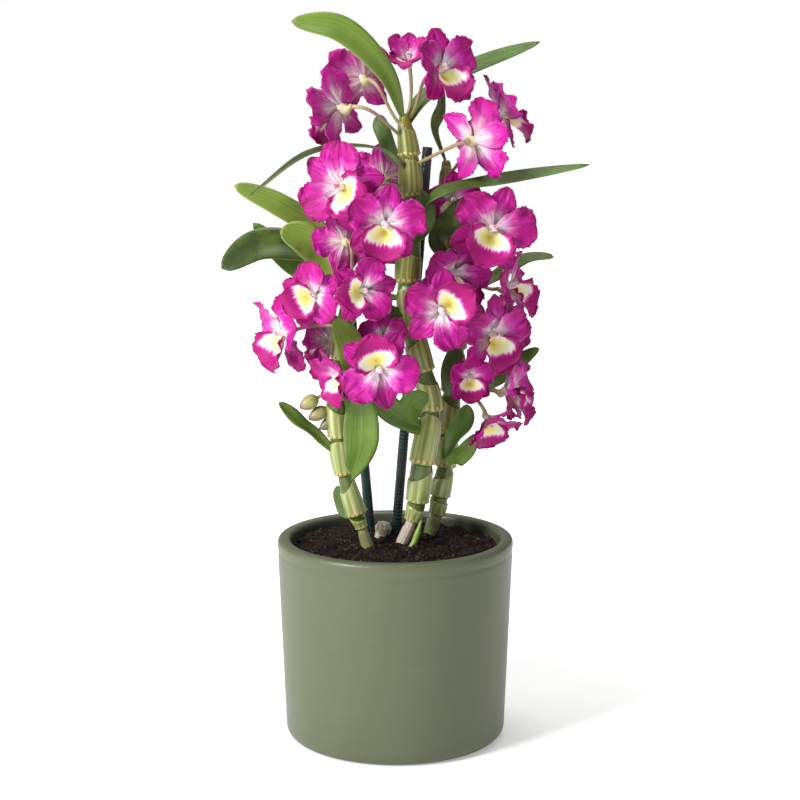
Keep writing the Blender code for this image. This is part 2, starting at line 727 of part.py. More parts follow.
def main():
    clear_scene()
    plant = new_collection("dendrobium_orchid")
    cutters = new_collection("cutters")
    cutters.hide_render = True

    ceramic = material("pot_ceramic", (0.150, 0.180, 0.115), 0.55)
    mix = material("potting_mix", (0.030, 0.020, 0.016), 0.95)
    cane_green = material("cane_green", (0.270, 0.330, 0.090), 0.45)
    stake_green = material("stake_green", (0.010, 0.028, 0.026), 0.35)
    papery = material("papery_sheath", (0.620, 0.560, 0.440), 0.80)
    shoot_green = material("shoot_green", (0.250, 0.460, 0.070), 0.45)
    magenta = material("petal_magenta", (0.560, 0.012, 0.300), 0.55)

    make_pot(plant, ceramic)

    placed = []
    meshes = {}
    for number, (cane, height, centre, azimuth, elevation, roll, size, cup) in enumerate(BLOOMS, 1):
        if cup not in meshes:
            meshes[cup] = flower_mesh(cup)
            meshes[cup].name = f"flower_{cup}"
            meshes[cup].materials.clear()
            meshes[cup].materials.append(magenta)
        matrix = flower_matrix(centre, azimuth, elevation, roll, size)
        bloom = bpy.data.objects.new(f"bloom_{number:02d}", meshes[cup])
        bloom.matrix_world = matrix
        plant.objects.link(bloom)
        placed.append((cane, height, matrix))

    for name in CANES:
        make_cane(name, plant, cane_green, placed)
        joints = CANES[name]
        make_hole(joints[0][0], joints[1][0], joints[0][1], cutters)

    make_stake("stake_middle", (0, 20, 113), (19, 22, 350), plant, stake_green, cutters)
    make_stake("stake_left", (-15, 32, 113), (-26, 18, 249), plant, stake_green, cutters)
    make_stub(plant, papery, cutters)
    make_shoot(plant, shoot_green, cutters)
    make_soil(plant, mix, cutters)


if __name__ == "__main__":
    main()
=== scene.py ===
"""The looks of a potted dendrobium orchid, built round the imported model.

Metres, +Z up, seen from the front along +Y. Tables of positions are in millimetres, as (x, y, z).
"""

import random
from math import copysign, cos, exp, hypot, pi, radians, sin, sqrt

import bpy
import numpy as np
from mathutils import Matrix, Vector, noise


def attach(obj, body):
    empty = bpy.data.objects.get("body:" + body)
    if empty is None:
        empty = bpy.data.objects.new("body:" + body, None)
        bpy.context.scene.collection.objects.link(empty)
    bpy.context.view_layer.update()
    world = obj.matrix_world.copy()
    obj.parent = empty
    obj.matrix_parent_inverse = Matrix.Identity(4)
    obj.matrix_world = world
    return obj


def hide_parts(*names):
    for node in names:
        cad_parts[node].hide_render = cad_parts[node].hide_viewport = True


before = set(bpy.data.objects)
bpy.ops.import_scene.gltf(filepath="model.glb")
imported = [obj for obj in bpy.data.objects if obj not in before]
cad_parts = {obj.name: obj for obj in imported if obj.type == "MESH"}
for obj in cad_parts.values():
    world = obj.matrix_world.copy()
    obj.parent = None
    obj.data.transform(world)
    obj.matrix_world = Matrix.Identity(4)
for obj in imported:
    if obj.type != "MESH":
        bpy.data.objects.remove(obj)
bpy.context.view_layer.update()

MM = 0.001
SEED = 11
AMBIENT = 0.34
FLOOR = 4.0
CAMERA_PLACE = (0.0028, -1.16, 0.405)
CAMERA_TILT = 80.13
CAMERA_LENS = 90.0
rng = random.Random(SEED)

# The pot and the mix, as in the solids, in metres. The corner is its inset and its height.
POT_HEIGHT = 0.1213
POT_TOP_RADIUS = 0.07
POT_FOOT_RADIUS = 0.0656
POT_WALL = 0.008
POT_LIP_ROUND = 0.004
POT_LIP_SQUARENESS = 0.7
POT_FOOT_ROUND = 0.007
POT_FLOOR = 0.0083
POT_CORNER = (0.005, 0.013)
POT_GROOVE = dict(below=0.0078, half_width=0.0013, depth=0.0004)
POT_SEGMENTS = 160
SOIL_LEVEL = 0.1142
SOIL_MOUND = 0.003
SOIL_RINGS = 64
SOIL_SPOKES = 200
SOIL_GAP = 0.0003
CRUMBS = 2600
FIBRES = 700

# How far stems and stakes reach into the mix, in millimetres, and the number of ribs on a stake.
ROOTED = 12
STAKE_RIBS = 120

# Where a sheath ends, as a share of the way to the next joint, its slant, and its turn at each joint.
SHEATH_END = 0.72
SHEATH_SLANT = 0.15
SHEATH_TURN = 2.1

# Tepals: length, half width, outline powers p and q, height of the root, first slope and curl in
# degrees, cup across and frill.
SEPAL = dict(length=23.0, half_width=7.6, p=0.85, q=0.62, z=0.0, lift=22, curl=38, cup=0.14, frill=0.5)
PETAL = dict(length=23.0, half_width=11.5, p=0.95, q=0.42, z=1.6, lift=30, curl=42, cup=0.18, frill=1.4)
TEPALS = ((0, SEPAL), (64, PETAL), (-64, PETAL), (134, SEPAL), (-134, SEPAL))
FLOWER_BACK = -6.0
PETAL_THICKNESS = 0.6
LEAF_THICKNESS = 0.8

# The lip's stations from root to tip: half width, y, z, how far its sides lean forward and up.
LIP = (
    (2.5, -1, 1, 2, 1),
    (8, -4, 3.5, 7, 5),
    (13, -9, 8, 6, 6),
    (11, -15, 12, 3, 2),
    (2, -20.5, 12.5, 0, 0),
)

# The column from its back to its cap: radius, y and z.
COLUMN = (
    (1.15, 0, -6), (1.6, 0, -5), (2, -1, -3.6), (2.5, -1.8, -2), (2.9, -0.8, -0.3), (2.5, 0.2, 1.2),
    (1.8, 0.6, 3.5), (1.7, 0.8, 5.6), (1.9, 1, 7.2), (1.7, 1, 8.3), (0.9, 0.9, 9),
)

LEFT, MIDDLE, RIGHT = "cane_left", "cane_middle", "cane_right"

# Canes, bottom to top: each joint, its radius and the radius of the sheath above it.
CANES = {
    LEFT: (
        ((-15, -11, 113), 3.5, 3.5),
        ((-20, -11, 129), 3, 3.4),
        ((-23, -12, 138), 4.8, 6.2),
        ((-30, -15, 163), 3.7, 5.8),
        ((-33, -18, 186), 5, 6.4),
        ((-34, -20, 208), 5, 6.4),
        ((-31, -20, 231), 4.8, 6),
        ((-28, -18, 253), 4.2, 5.2),
        ((-24, -15, 274), 2.6, 2.6),
    ),
    MIDDLE: (
        ((2, -1, 113), 3.3, 3.4),
        ((10, -1, 131), 3.3, 4.6),
        ((13, -1, 143), 5.4, 6.8),
        ((16, -3, 167), 6.2, 7.8),
        ((21, 1, 198), 5.8, 6.8),
        ((16, 1, 221), 5.6, 7.2),
        ((10, 0, 247), 5.6, 7.4),
        ((7, 0, 274), 5.4, 7.4),
        ((9, 0, 299), 5.4, 7.4),
        ((9, 0, 324), 5.2, 7),
        ((8, 0, 347), 5, 6.4),
        ((5, 0, 370), 2.6, 2.6),
    ),
    RIGHT: (
        ((19, 21, 113), 2.7, 3.4),
        ((25, 18, 131), 3.8, 4.8),
        ((27, 18, 142), 5, 6.2),
        ((30, 18, 160), 4.8, 6.6),
        ((32, 20, 181), 5, 6.8),
        ((34, 22, 205), 5, 6.8),
        ((36, 24, 231), 5, 6.8),
        ((36, 26, 259), 5, 6.6),
        ((34, 26, 289), 4.8, 6.4),
        ((31, 27, 318), 4.2, 5.4),
        ((30, 28, 342), 2.4, 2.4),
    ),
}

# Leaves: the curve from root to tip, half width, the way the upper face looks, and how light the green is;
# this last is partly the leaf's own green and partly painted shade and light for how the leaf is lit.
LEAVES = {
    LEFT: (
        (((-28, -15, 157), (-21, -27, 176), (-19, -34, 193), (-20, -38, 216)), 10.5, (-0.1, -1, 0.1), 0.62),
        (((-32, -18, 172), (-45, -22, 186), (-56, -26, 196), (-67, -30, 207)), 4.5, (-0.5, -0.4, 0.7), 0.55),
        (((-33, -20, 195), (-22, -24, 217), (-25, -27, 238), (-34, -33, 257)), 8.5, (-0.1, -1, 0.2), 1),
        (((-22, -11, 133), (-30, -6, 137), (-33, -3, 144), (-34, -1, 152)), 4, (-0.6, -0.8, 0.2), 0.3),
        (((-25, -15, 270), (-42, -4, 300), (-67, -8, 318), (-92, -14, 330)), 7.5, (-0.3, -0.8, 0.6), 0.95),
        (((-26, -16, 262), (-38, -10, 285), (-51, -12, 298), (-66, -16, 304)), 10, (-0.3, -0.9, 0.5), 1),
    ),
    MIDDLE: (
        (((5, -1, 366), (-6, -14, 394), (-30, -22, 417), (-58, -24, 422)), 8, (0.3, -0.9, 0.3), 0.75),
        (((7, 1, 362), (16, 12, 378), (44, 28, 395), (85, 26, 411)), 7, (-0.2, -0.6, 0.8), 0.45),
        (((8, 1, 336), (-2, 20, 348), (-7, 30, 360), (-11, 34, 368)), 6, (-0.6, -0.8, 0.1), 0.35),
        (((8, -2, 335), (-11, -14, 351), (-48, -20, 348), (-83, -26, 324)), 6.5, (0, -0.1, 1), 0.08),
        (((10, -2, 309), (26, -13, 326), (58, 4, 331), (113, 2, 341)), 6, (0, -0.5, 0.9), 0.45),
        (((8, 1, 284), (-45, 6, 291), (-78, 4, 294), (-101, -2, 281)), 10, (0.1, -0.9, 0.5), 0.05),
        (((9, 1, 262), (-38, 14, 270), (-62, 16, 283), (-84, 18, 306)), 7, (0.3, -0.9, 0.3), 0.55),
        (((9, 0, 256), (-2, -8, 256), (-12, -10, 258), (-20, -12, 260)), 6, (0, -0.9, 0.5), 0.15),
        (((18, -2, 185), (7, -14, 193), (-4, -22, 202), (-16, -28, 212)), 7.5, (-0.3, -0.9, 0.5), 0.6),
        (((18, -2, 183), (9, -12, 192), (9, -17, 203), (19, -20, 210)), 7.5, (0.2, -1, 0.2), 0.55),
        (((9, -4, 296), (15, -12, 303), (18, -14, 314), (16, -11, 327)), 5.5, (0.4, -0.9, 0.1), 0.15),
    ),
    RIGHT: (
        (((30, 27, 340), (23, 30, 360), (26, 34, 372), (28, 36, 384)), 5, (0.8, -0.6, 0.1), 0.15),
        (((35, 25, 280), (24, 8, 296), (35, -5, 312), (51, -9, 325)), 7, (0.3, -0.9, 0.2), 0.1),
        (((36, 26, 259), (58, 38, 270), (78, 38, 282), (95, 34, 284)), 6, (0, -0.5, 0.9), 0.6),
        (((33, 21, 200), (57, 34, 207), (72, 36, 218), (87, 34, 229)), 6, (0, -0.7, 0.7), 0.55),
        (((34, 22, 202), (32, 9, 209), (31, 4, 222), (36, 2, 236)), 6, (0.5, -0.8, 0.1), 0.2),
        (((29, 18, 160), (33, 2, 179), (39, -5, 191), (42, -7, 202)), 7, (0.4, -0.9, 0.1), 0.5),
        (((28, 18, 150), (33, 4, 163), (41, -3, 173), (48, -5, 184)), 5.5, (0.5, -0.6, 0.6), 0.6),
    ),
}

BUD_ROOT = (-33, -20, 206)
BUDS = (
    ((-55, -26, 203), 12, 4.4),
    ((-50, -24, 196), 12.5, 4.2),
    ((-44, -22, 190), 15, 4.2),
)

# Blooms: cane, height on it where the stalk leaves, flower centre, azimuth (0 faces the front,
# 90 the right), elevation, roll (clockwise as seen from its front), size and extra cup in degrees.
BLOOMS = (
    (MIDDLE, 362, (-18, 17, 390), -145, 10, 0, 1, 0),
    (MIDDLE, 356, (-30, -15, 374), -115, -5, 20, 1.1, 0),
    (MIDDLE, 368, (8, 2, 399), -10, 50, 0, 0.75, 35),
    (MIDDLE, 366, (24, 0, 394), 40, 15, 0, 1.05, 10),
    (MIDDLE, 340, (44, -8, 355), 140, 5, -78, 1.05, 0),
    (RIGHT, 334, (59, 25, 368), 100, 20, 0, 1.05, 0),
    (MIDDLE, 327, (-29, -26, 330), -20, 0, -60, 1.1, 0),
    (MIDDLE, 304, (-6, -42, 311), 5, -15, 10, 1, 0),
    (RIGHT, 312, (33, 14, 321), 10, -15, 0, 0.8, 15),
    (RIGHT, 294, (55, -12, 305), 10, 0, 25, 1.1, 0),
    (RIGHT, 289, (32, -4, 281), 20, -30, 20, 1, 10),
    (LEFT, 262, (-45, -40, 270), -20, 5, 60, 0.85, 10),
    (LEFT, 268, (-19, -47, 274), 15, 0, 80, 0.85, 10),
    (LEFT, 248, (-62, -18, 246), -55, -10, 10, 1.05, 0),
    (MIDDLE, 258, (26, -38, 262), 10, 0, -130, 1, 0),
    (LEFT, 236, (-37, 2, 238), -125, -5, 0, 0.85, 0),
    (LEFT, 224, (-29, -37, 225), -55, -15, -15, 0.85, 20),
    (MIDDLE, 214, (-9, -50, 230), 0, 5, 165, 1, 0),
    (RIGHT, 276, (65, 13, 268), 68, 10, -15, 1, 0),
    (RIGHT, 230, (54, -10, 244), 40, -10, 0, 1.05, 0),
    (RIGHT, 222, (43, 0, 217), 10, -5, 0, 0.7, 20),
    (RIGHT, 212, (64, 6, 208), 75, 5, 10, 1.05, 10),
    (RIGHT, 203, (54, -10, 195), 35, -45, 0, 0.85, 25),
    (MIDDLE, 248, (-7, -17, 243), 0, 0, 0, 0.65, 0),
    (MIDDLE, 336, (-7, 28, 332), -170, 0, 0, 0.85, 0),
    (LEFT, 270, (-28, -24, 299), -160, -5, 25, 0.8, 0),
    (RIGHT, 264, (38, 14, 258), 15, -5, -25, 0.68, 10),
    (RIGHT, 244, (65, 40, 244), 115, 0, 0, 0.9, 0),
)


# Helpers for meshes.


def smooth_table(table, place):
    """Rows of a table read between its stations on a smooth curve. place runs from 0 to 1, as an array."""
    rows = np.asarray(table, float)
    padded = np.vstack([2 * rows[0] - rows[1], rows, 2 * rows[-1] - rows[-2]])
    where = np.minimum(np.asarray(place, float), 0.999999) * (len(rows) - 1)
    i = where.astype(int)
    f = (where - i)[:, None]
    a, b, c, d = (padded[i + k] for k in range(4))
    return 0.5 * (
        2 * b + (c - a) * f + (2 * a - 5 * b + 4 * c - d) * f**2 + (3 * b - a - 3 * c + d) * f**3
    )


def unit(vectors):
    return vectors / np.maximum(np.linalg.norm(vectors, axis=-1, keepdims=True), 1e-12)


def put_in_scene(name, data):
    obj = bpy.data.objects.new(name, data)
    bpy.context.scene.collection.objects.link(obj)
    return obj


class Pile:
    """Points, faces with a material number each, and three marks per point for the shaders."""

    def __init__(self):
        self.points, self.marks, self.faces, self.slots = [], [], [], []
        self.count = 0

    def add(self, points, marks, faces, slots):
        self.points.append(np.asarray(points, float).reshape(-1, 3))
        self.marks.append(np.asarray(marks, float).reshape(-1, 3))
        self.faces.extend([tuple(int(i) + self.count for i in face) for face in faces])
        self.slots.extend(slots)
        self.count += len(self.points[-1])

    def sheet(self, middle, marks, thickness, front=0, back=0):
        """A thin closed sheet on a grid of points whose last row is its tip. Its outline is sharp."""
        rows, columns = middle.shape[:2]
        down = np.gradient(middle, axis=0)
        along = np.gradient(middle, axis=1)
        normal = unit(np.cross(along, down))
        lift = np.full((rows, columns, 1), thickness / 2)
        lift[[0, -1]] = 0
        lift[:, [0, -1]] = 0
        top = np.arange(rows * columns).reshape(rows, columns)
        top[-1] = top[-1, columns // 2]
        below = top + rows * columns
        below[[0, -1]] = top[[0, -1]]
        below[:, [0, -1]] = top[:, [0, -1]]
        offset = normal * lift
        points = np.vstack([(middle + offset).reshape(-1, 3), (middle - offset).reshape(-1, 3)])
        marks = np.vstack([marks.reshape(-1, 3)] * 2)
        faces, slots = [], []
        for grid, slot, turned in ((top, front, False), (below, back, True)):
            corners = (grid[:-1, :-1], grid[:-1, 1:], grid[1:, 1:], grid[1:, :-1])
            for quad in np.stack(corners, axis=-1).reshape(-1, 4).tolist():
                if quad[2] == quad[3]:
                    quad = quad[:3]
                faces.append(quad[::-1] if turned else quad)
                slots.append(slot)
        used = np.unique(np.concatenate([np.asarray(face) for face in faces]))
        new = np.full(len(points), -1)
        new[used] = np.arange(len(used))
        self.add(points[used], marks[used], [new[face] for face in faces], slots)

    def tube(self, rings, marks, slot=0, slots=None):
        """A closed tube through rings of points, with flat ends. slots may give one number per ring."""
        count, sides = rings.shape[:2]
        index = np.arange(count * sides).reshape(count, sides)
        following = np.roll(index, -1, axis=1)
        quads = np.stack([index[:-1], following[:-1], following[1:], index[1:]], axis=-1)
        faces = quads.reshape(-1, 4).tolist()
        numbers = []
        for ring in range(count - 1):
            numbers.extend([slots[ring] if slots else slot] * sides)
        faces += [index[0][::-1].tolist(), index[-1].tolist()]
        numbers += [numbers[0], numbers[-1]]
        self.add(rings, marks, faces, numbers)

    def build(self, name, materials, scale=MM):
        mesh = bpy.data.meshes.new(name)
        mesh.from_pydata((np.vstack(self.points) * scale).tolist(), [], self.faces)
        for mat in materials:
            mesh.materials.append(mat)
        mesh.polygons.foreach_set("material_index", self.slots)
        layer = mesh.attributes.new("marks", "FLOAT_VECTOR", "POINT")
        layer.data.foreach_set("vector", np.vstack(self.marks).ravel())
        mesh.shade_smooth()
        mesh.update()
        return put_in_scene(name, mesh)


def frames_along(path):
    """Tangent, side and up at each point of a path, turned as little as possible from one to the next."""
    tangents = unit(np.gradient(path, axis=0))
    side = np.cross(tangents[0], (0.0, 1.0, 0.0))
    if np.linalg.norm(side) < 0.2:
        side = np.cross(tangents[0], (1.0, 0.0, 0.0))
    sides = []
    for tangent in tangents:
        side = side - tangent * side.dot(tangent)
        side = side / np.linalg.norm(side)
        sides.append(side)
    sides = np.array(sides)
    return tangents, sides, np.cross(tangents, sides)


def rings_round(path, radii, sides):
    """Rings of points round a path. radii is one per point, or one per point and side."""
    _, side, up = frames_along(path)
    radii = np.asarray(radii, float)
    if radii.ndim == 1:
        radii = np.repeat(radii[:, None], sides, axis=1)
    angle = turns(sides)
    spokes = side[:, None] * np.cos(angle)[None, :, None] + up[:, None] * np.sin(angle)[None, :, None]
    return path[:, None] + spokes * radii[..., None]


def level_ring(radius, y, z, sides):
    return [(radius * cos(a), y + radius * sin(a), z) for a in turns(sides)]


def triples(first, second, third):
    """Three grids, rows or single numbers as one grid of triples, for points or marks."""
    return np.stack(np.broadcast_arrays(first, second, third), axis=-1)


def tube_marks(rows, sides, third=0.0):
    """Marks of a tube: the share of its length, the share of a turn, and one number more."""
    return triples(shares(rows)[:, None], np.arange(sides)[None, :] / sides, third)


def turns(count):
    """The angles of a full turn in equal steps."""
    return 2 * np.pi * np.arange(count) / count


def shares(count):
    return np.linspace(0, 1, count)


def dress(obj, slot, *nodes):
    """Every piece rides on the one body; the solids it stands for are hidden. The slot is not used."""
    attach(obj, "root")
    if nodes:
        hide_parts(*nodes)


# Materials.


class Paint:
    """A procedural material, made node by node."""

    def __init__(self, name, roughness, specular=0.5):
        self.material = bpy.data.materials.new(name)
        self.material.use_nodes = True
        self.tree = self.material.node_tree
        self.shader = self.tree.nodes["Principled BSDF"]
        self.set("Roughness", roughness)
        self.set("Specular IOR Level", specular)
        self.vector = self.node("ShaderNodeAttribute", {"attribute_name": "marks"}).outputs["Vector"]

    def node(self, kind, settings=None, **sockets):
        made = self.tree.nodes.new(kind)
        for key, value in (settings or {}).items():
            setattr(made, key, value)
        for key, value in sockets.items():
            self.plug(made.inputs[int(key[1:])] if key[0] == "_" else made.inputs[key], value)
        return made

    def plug(self, socket, value):
        if isinstance(value, bpy.types.NodeSocket):
            self.tree.links.new(value, socket)
        elif isinstance(value, tuple) and len(value) == 3 and socket.type == "RGBA":
            socket.default_value = (*value, 1.0)
        else:
            socket.default_value = value

    def set(self, name, value):
        self.plug(self.shader.inputs[name], value)

    def marks(self):
        return self.node("ShaderNodeSeparateXYZ", _0=self.vector).outputs

    def place(self):
        return self.node("ShaderNodeTexCoord").outputs["Object"]

    def math(self, operation, a, b=0.0):
        return self.node("ShaderNodeMath", {"operation": operation}, _0=a, _1=b).outputs[0]

    def plus(self, a, b):
        return self.math("ADD", a, b)

    def minus(self, a, b):
        return self.math("SUBTRACT", a, b)

    def times(self, a, b):
        return self.math("MULTIPLY", a, b)

    def centred(self, value, amount):
        """A value from 0 to 1 as a shift of up to half the amount, either way."""
        return self.times(self.minus(value, 0.5), amount)

    def scaled(self, vector, by):
        return self.node("ShaderNodeVectorMath", {"operation": "MULTIPLY"}, _0=vector, _1=by).outputs[0]

    def length(self, vector):
        return self.node("ShaderNodeVectorMath", {"operation": "LENGTH"}, _0=vector).outputs["Value"]

    def noise(self, vector, scale, detail=2.0, roughness=0.5):
        sockets = {"Vector": vector, "Scale": scale, "Detail": detail, "Roughness": roughness}
        return self.node("ShaderNodeTexNoise", **sockets).outputs[0]

    def grain(self, scales, detail):
        """Noise laid along the marks, scaled apart on each."""
        return self.noise(self.scaled(self.vector, scales), 1.0, detail)

    def ramp(self, value, *stops):
        """A colour ramp; each stop is (place, colour), where colour is a number or three."""
        made = self.node("ShaderNodeValToRGB", Fac=value)
        elements = made.color_ramp.elements
        while len(elements) < len(stops):
            elements.new(0.5)
        for element, (place, colour) in zip(elements, stops):
            element.position = place
            element.color = (*(colour if isinstance(colour, tuple) else (colour,) * 3), 1.0)
        return made.outputs[0]

    def mix(self, share, a, b, blend="MIX"):
        made = self.node("ShaderNodeMix", {"data_type": "RGBA", "blend_type": blend})
        self.plug(made.inputs[0], share)
        self.plug(made.inputs[6], a)
        self.plug(made.inputs[7], b)
        return made.outputs[2]

    def finish(self, colour, height, strength, distance):
        """Its colour and its bumps."""
        self.set("Base Color", colour)
        made = self.node("ShaderNodeBump", Height=height, Strength=strength, Distance=distance)
        self.set("Normal", made.outputs[0])
        return self.material


def shade(colour, by):
    return tuple(by * c for c in colour)


def petal_paint(name, back):
    """Magenta with a white root; the back is paler, with a white midline."""
    paint = Paint(name, 0.48, 0.22)
    t, v, seed = paint.marks()
    across = paint.math("ABSOLUTE", v)
    cloud = paint.grain((5, 2.2, 31), 3)
    middle = paint.ramp(across, (0, 1), (0.5 if back else 0.35, 0))
    place = paint.plus(t, paint.centred(cloud, 0.22))
    place = paint.minus(place, paint.times(middle, 0.2 if back else 0.1))
    if back:
        root, soft, end = (0, (0.8, 0.72, 0.6)), (0.22, (0.76, 0.46, 0.6)), (1, (0.47, 0.003, 0.22))
        deep = (0.42, (0.6, 0.085, 0.38)), (0.7, (0.6, 0.01, 0.33))
    else:
        root, soft, end = (0, (0.88, 0.86, 0.8)), (0.22, (0.84, 0.66, 0.74)), (1, (0.29, 0.001, 0.11))
        deep = (0.4, (0.62, 0.09, 0.4)), (0.58, (0.47, 0.003, 0.25))
    colour = paint.ramp(place, root, soft, *deep, end)
    # Veins run from the root and fan out; they are darker and a little raised.
    lines = paint.grain((1.3, 17, 31), 2)
    veins = paint.ramp(lines, (0.42, 0), (0.5, 1), (0.58, 0))
    colour = paint.mix(paint.times(veins, 0.45), colour, (0.24, 0.001, 0.09))
    folds = paint.grain((2.2, 4.5, 17), 3)
    # A painted highlight lightens the ridges of the folds.
    colour = paint.mix(paint.ramp(folds, (0.52, 0), (0.72, 0.5)), colour, (0.68, 0.03, 0.42))
    # Painted shade darkens the hollows of the folds.
    colour = paint.mix(paint.ramp(folds, (0.28, 0.65), (0.46, 0)), colour, (0.17, 0, 0.055))
    rim = paint.ramp(across, (0.93, 0), (1, 1))
    colour = paint.mix(paint.times(rim, 0.3), colour, (0.6, 0.12, 0.42))
    # No two petals are equally deep in colour.
    tone = paint.ramp(seed, (0, (0.72, 0.6, 0.7)), (0.45, (1, 1, 1)), (1, (1.05, 1.3, 1.22)))
    colour = paint.mix(0.85, colour, tone, "MULTIPLY")
    paint.set("Subsurface Weight", 0.08)
    paint.set("Subsurface Radius", (0.003, 0.0005, 0.001))
    height = paint.plus(paint.times(folds, 3), lines)
    return paint.finish(colour, height, 0.6, 0.0009)


def lip_paint():
    """Yellow inside, with a white fringed border and a magenta tip."""
    paint = Paint("lip_white_yellow", 0.55, 0.25)
    u, v, _ = paint.marks()
    cloud = paint.grain((7, 4, 31), 3)
    shift = paint.centred(cloud, 0.35)
    x = paint.math("DIVIDE", v, 0.85)
    y = paint.math("DIVIDE", paint.minus(u, 0.3), 0.3)
    reach = paint.math("SQRT", paint.plus(paint.times(x, x), paint.times(y, y)))
    yellow, cream = (0.35, (0.76, 0.68, 0.2)), (0.7, (0.8, 0.76, 0.4))
    reach = paint.plus(reach, shift)
    colour = paint.ramp(reach, (0, (0.64, 0.5, 0.09)), yellow, cream, (0.92, (0.8, 0.78, 0.66)))
    tip = paint.plus(u, paint.times(shift, 0.25))
    # The magenta starts in streaks that point at the throat, and darkens towards the edge.
    streaks = paint.grain((1.5, 11, 31), 2)
    streaks = paint.centred(streaks, 0.22)
    across = paint.math("DIVIDE", paint.math("ABSOLUTE", v), 0.84)
    border = paint.math("MAXIMUM", across, paint.math("DIVIDE", tip, 0.58))
    border = paint.times(paint.plus(border, streaks), 0.92)
    start, deep = (0.9, (0.6, 0.12, 0.4)), (0.94, (0.46, 0.006, 0.25))
    outer = paint.ramp(border, start, deep, (1, (0.32, 0.001, 0.13)))
    outer = paint.mix(paint.ramp(streaks, (0, 0), (0.06, 0.4)), outer, (0.2, 0.002, 0.09))
    past_root = paint.ramp(u, (0.05, 0), (0.15, 1))
    share = paint.times(paint.ramp(border, (0.83, 0), (0.9, 1)), past_root)
    colour = paint.mix(share, colour, outer)
    # The root of the throat turns dark red: partly its own mark and partly painted shade deep in the throat.
    throat = paint.ramp(paint.plus(u, paint.times(shift, 0.3)), (0.02, 0.7), (0.12, 0))
    colour = paint.mix(throat, colour, (0.22, 0.02, 0.05))
    paint.set("Subsurface Weight", 0.12)
    paint.set("Subsurface Radius", (0.004, 0.003, 0.002))
    grain = paint.grain((2, 28, 31), 2)
    return paint.finish(colour, grain, 0.4, 0.0005)


def column_paint():
    """Green-white ovary, white column and a spotted pink cap."""
    paint = Paint("column_white", 0.45)
    along = paint.marks()[0]
    ovary = (0, (0.3, 0.27, 0.1)), (0.22, (0.46, 0.43, 0.19)), (0.42, (0.66, 0.54, 0.42))
    cap = (0.62, (0.86, 0.8, 0.74)), (0.88, (0.84, 0.7, 0.72)), (1, (0.78, 0.5, 0.58))
    colour = paint.ramp(along, *ovary, *cap)
    spots = paint.ramp(paint.noise(paint.place(), 480, 2), (0.5, 0), (0.56, 1))
    spots = paint.times(spots, paint.ramp(along, (0.8, 0.1), (0.92, 0.85)))
    colour = paint.mix(spots, colour, (0.26, 0.004, 0.07))
    return paint.finish(colour, paint.noise(paint.place(), 900, 2), 0.2, 0.0004)


def stalk_paint():
    """Green at the cane, then pinkish brown, and paler at the flower."""
    paint = Paint("flower_stalk", 0.5)
    along = paint.marks()[0]
    cloud = paint.grain((3, 2, 17), 3)
    place = paint.plus(along, paint.centred(cloud, 0.5))
    green, brown = (0, (0.2, 0.22, 0.06)), (0.35, (0.28, 0.22, 0.1))
    pink, pale = (0.7, (0.28, 0.155, 0.1)), (1, (0.4, 0.35, 0.18))
    colour = paint.ramp(place, green, brown, pink, pale)
    return paint.finish(colour, paint.grain((6, 9, 17), 2), 0.3, 0.0003)


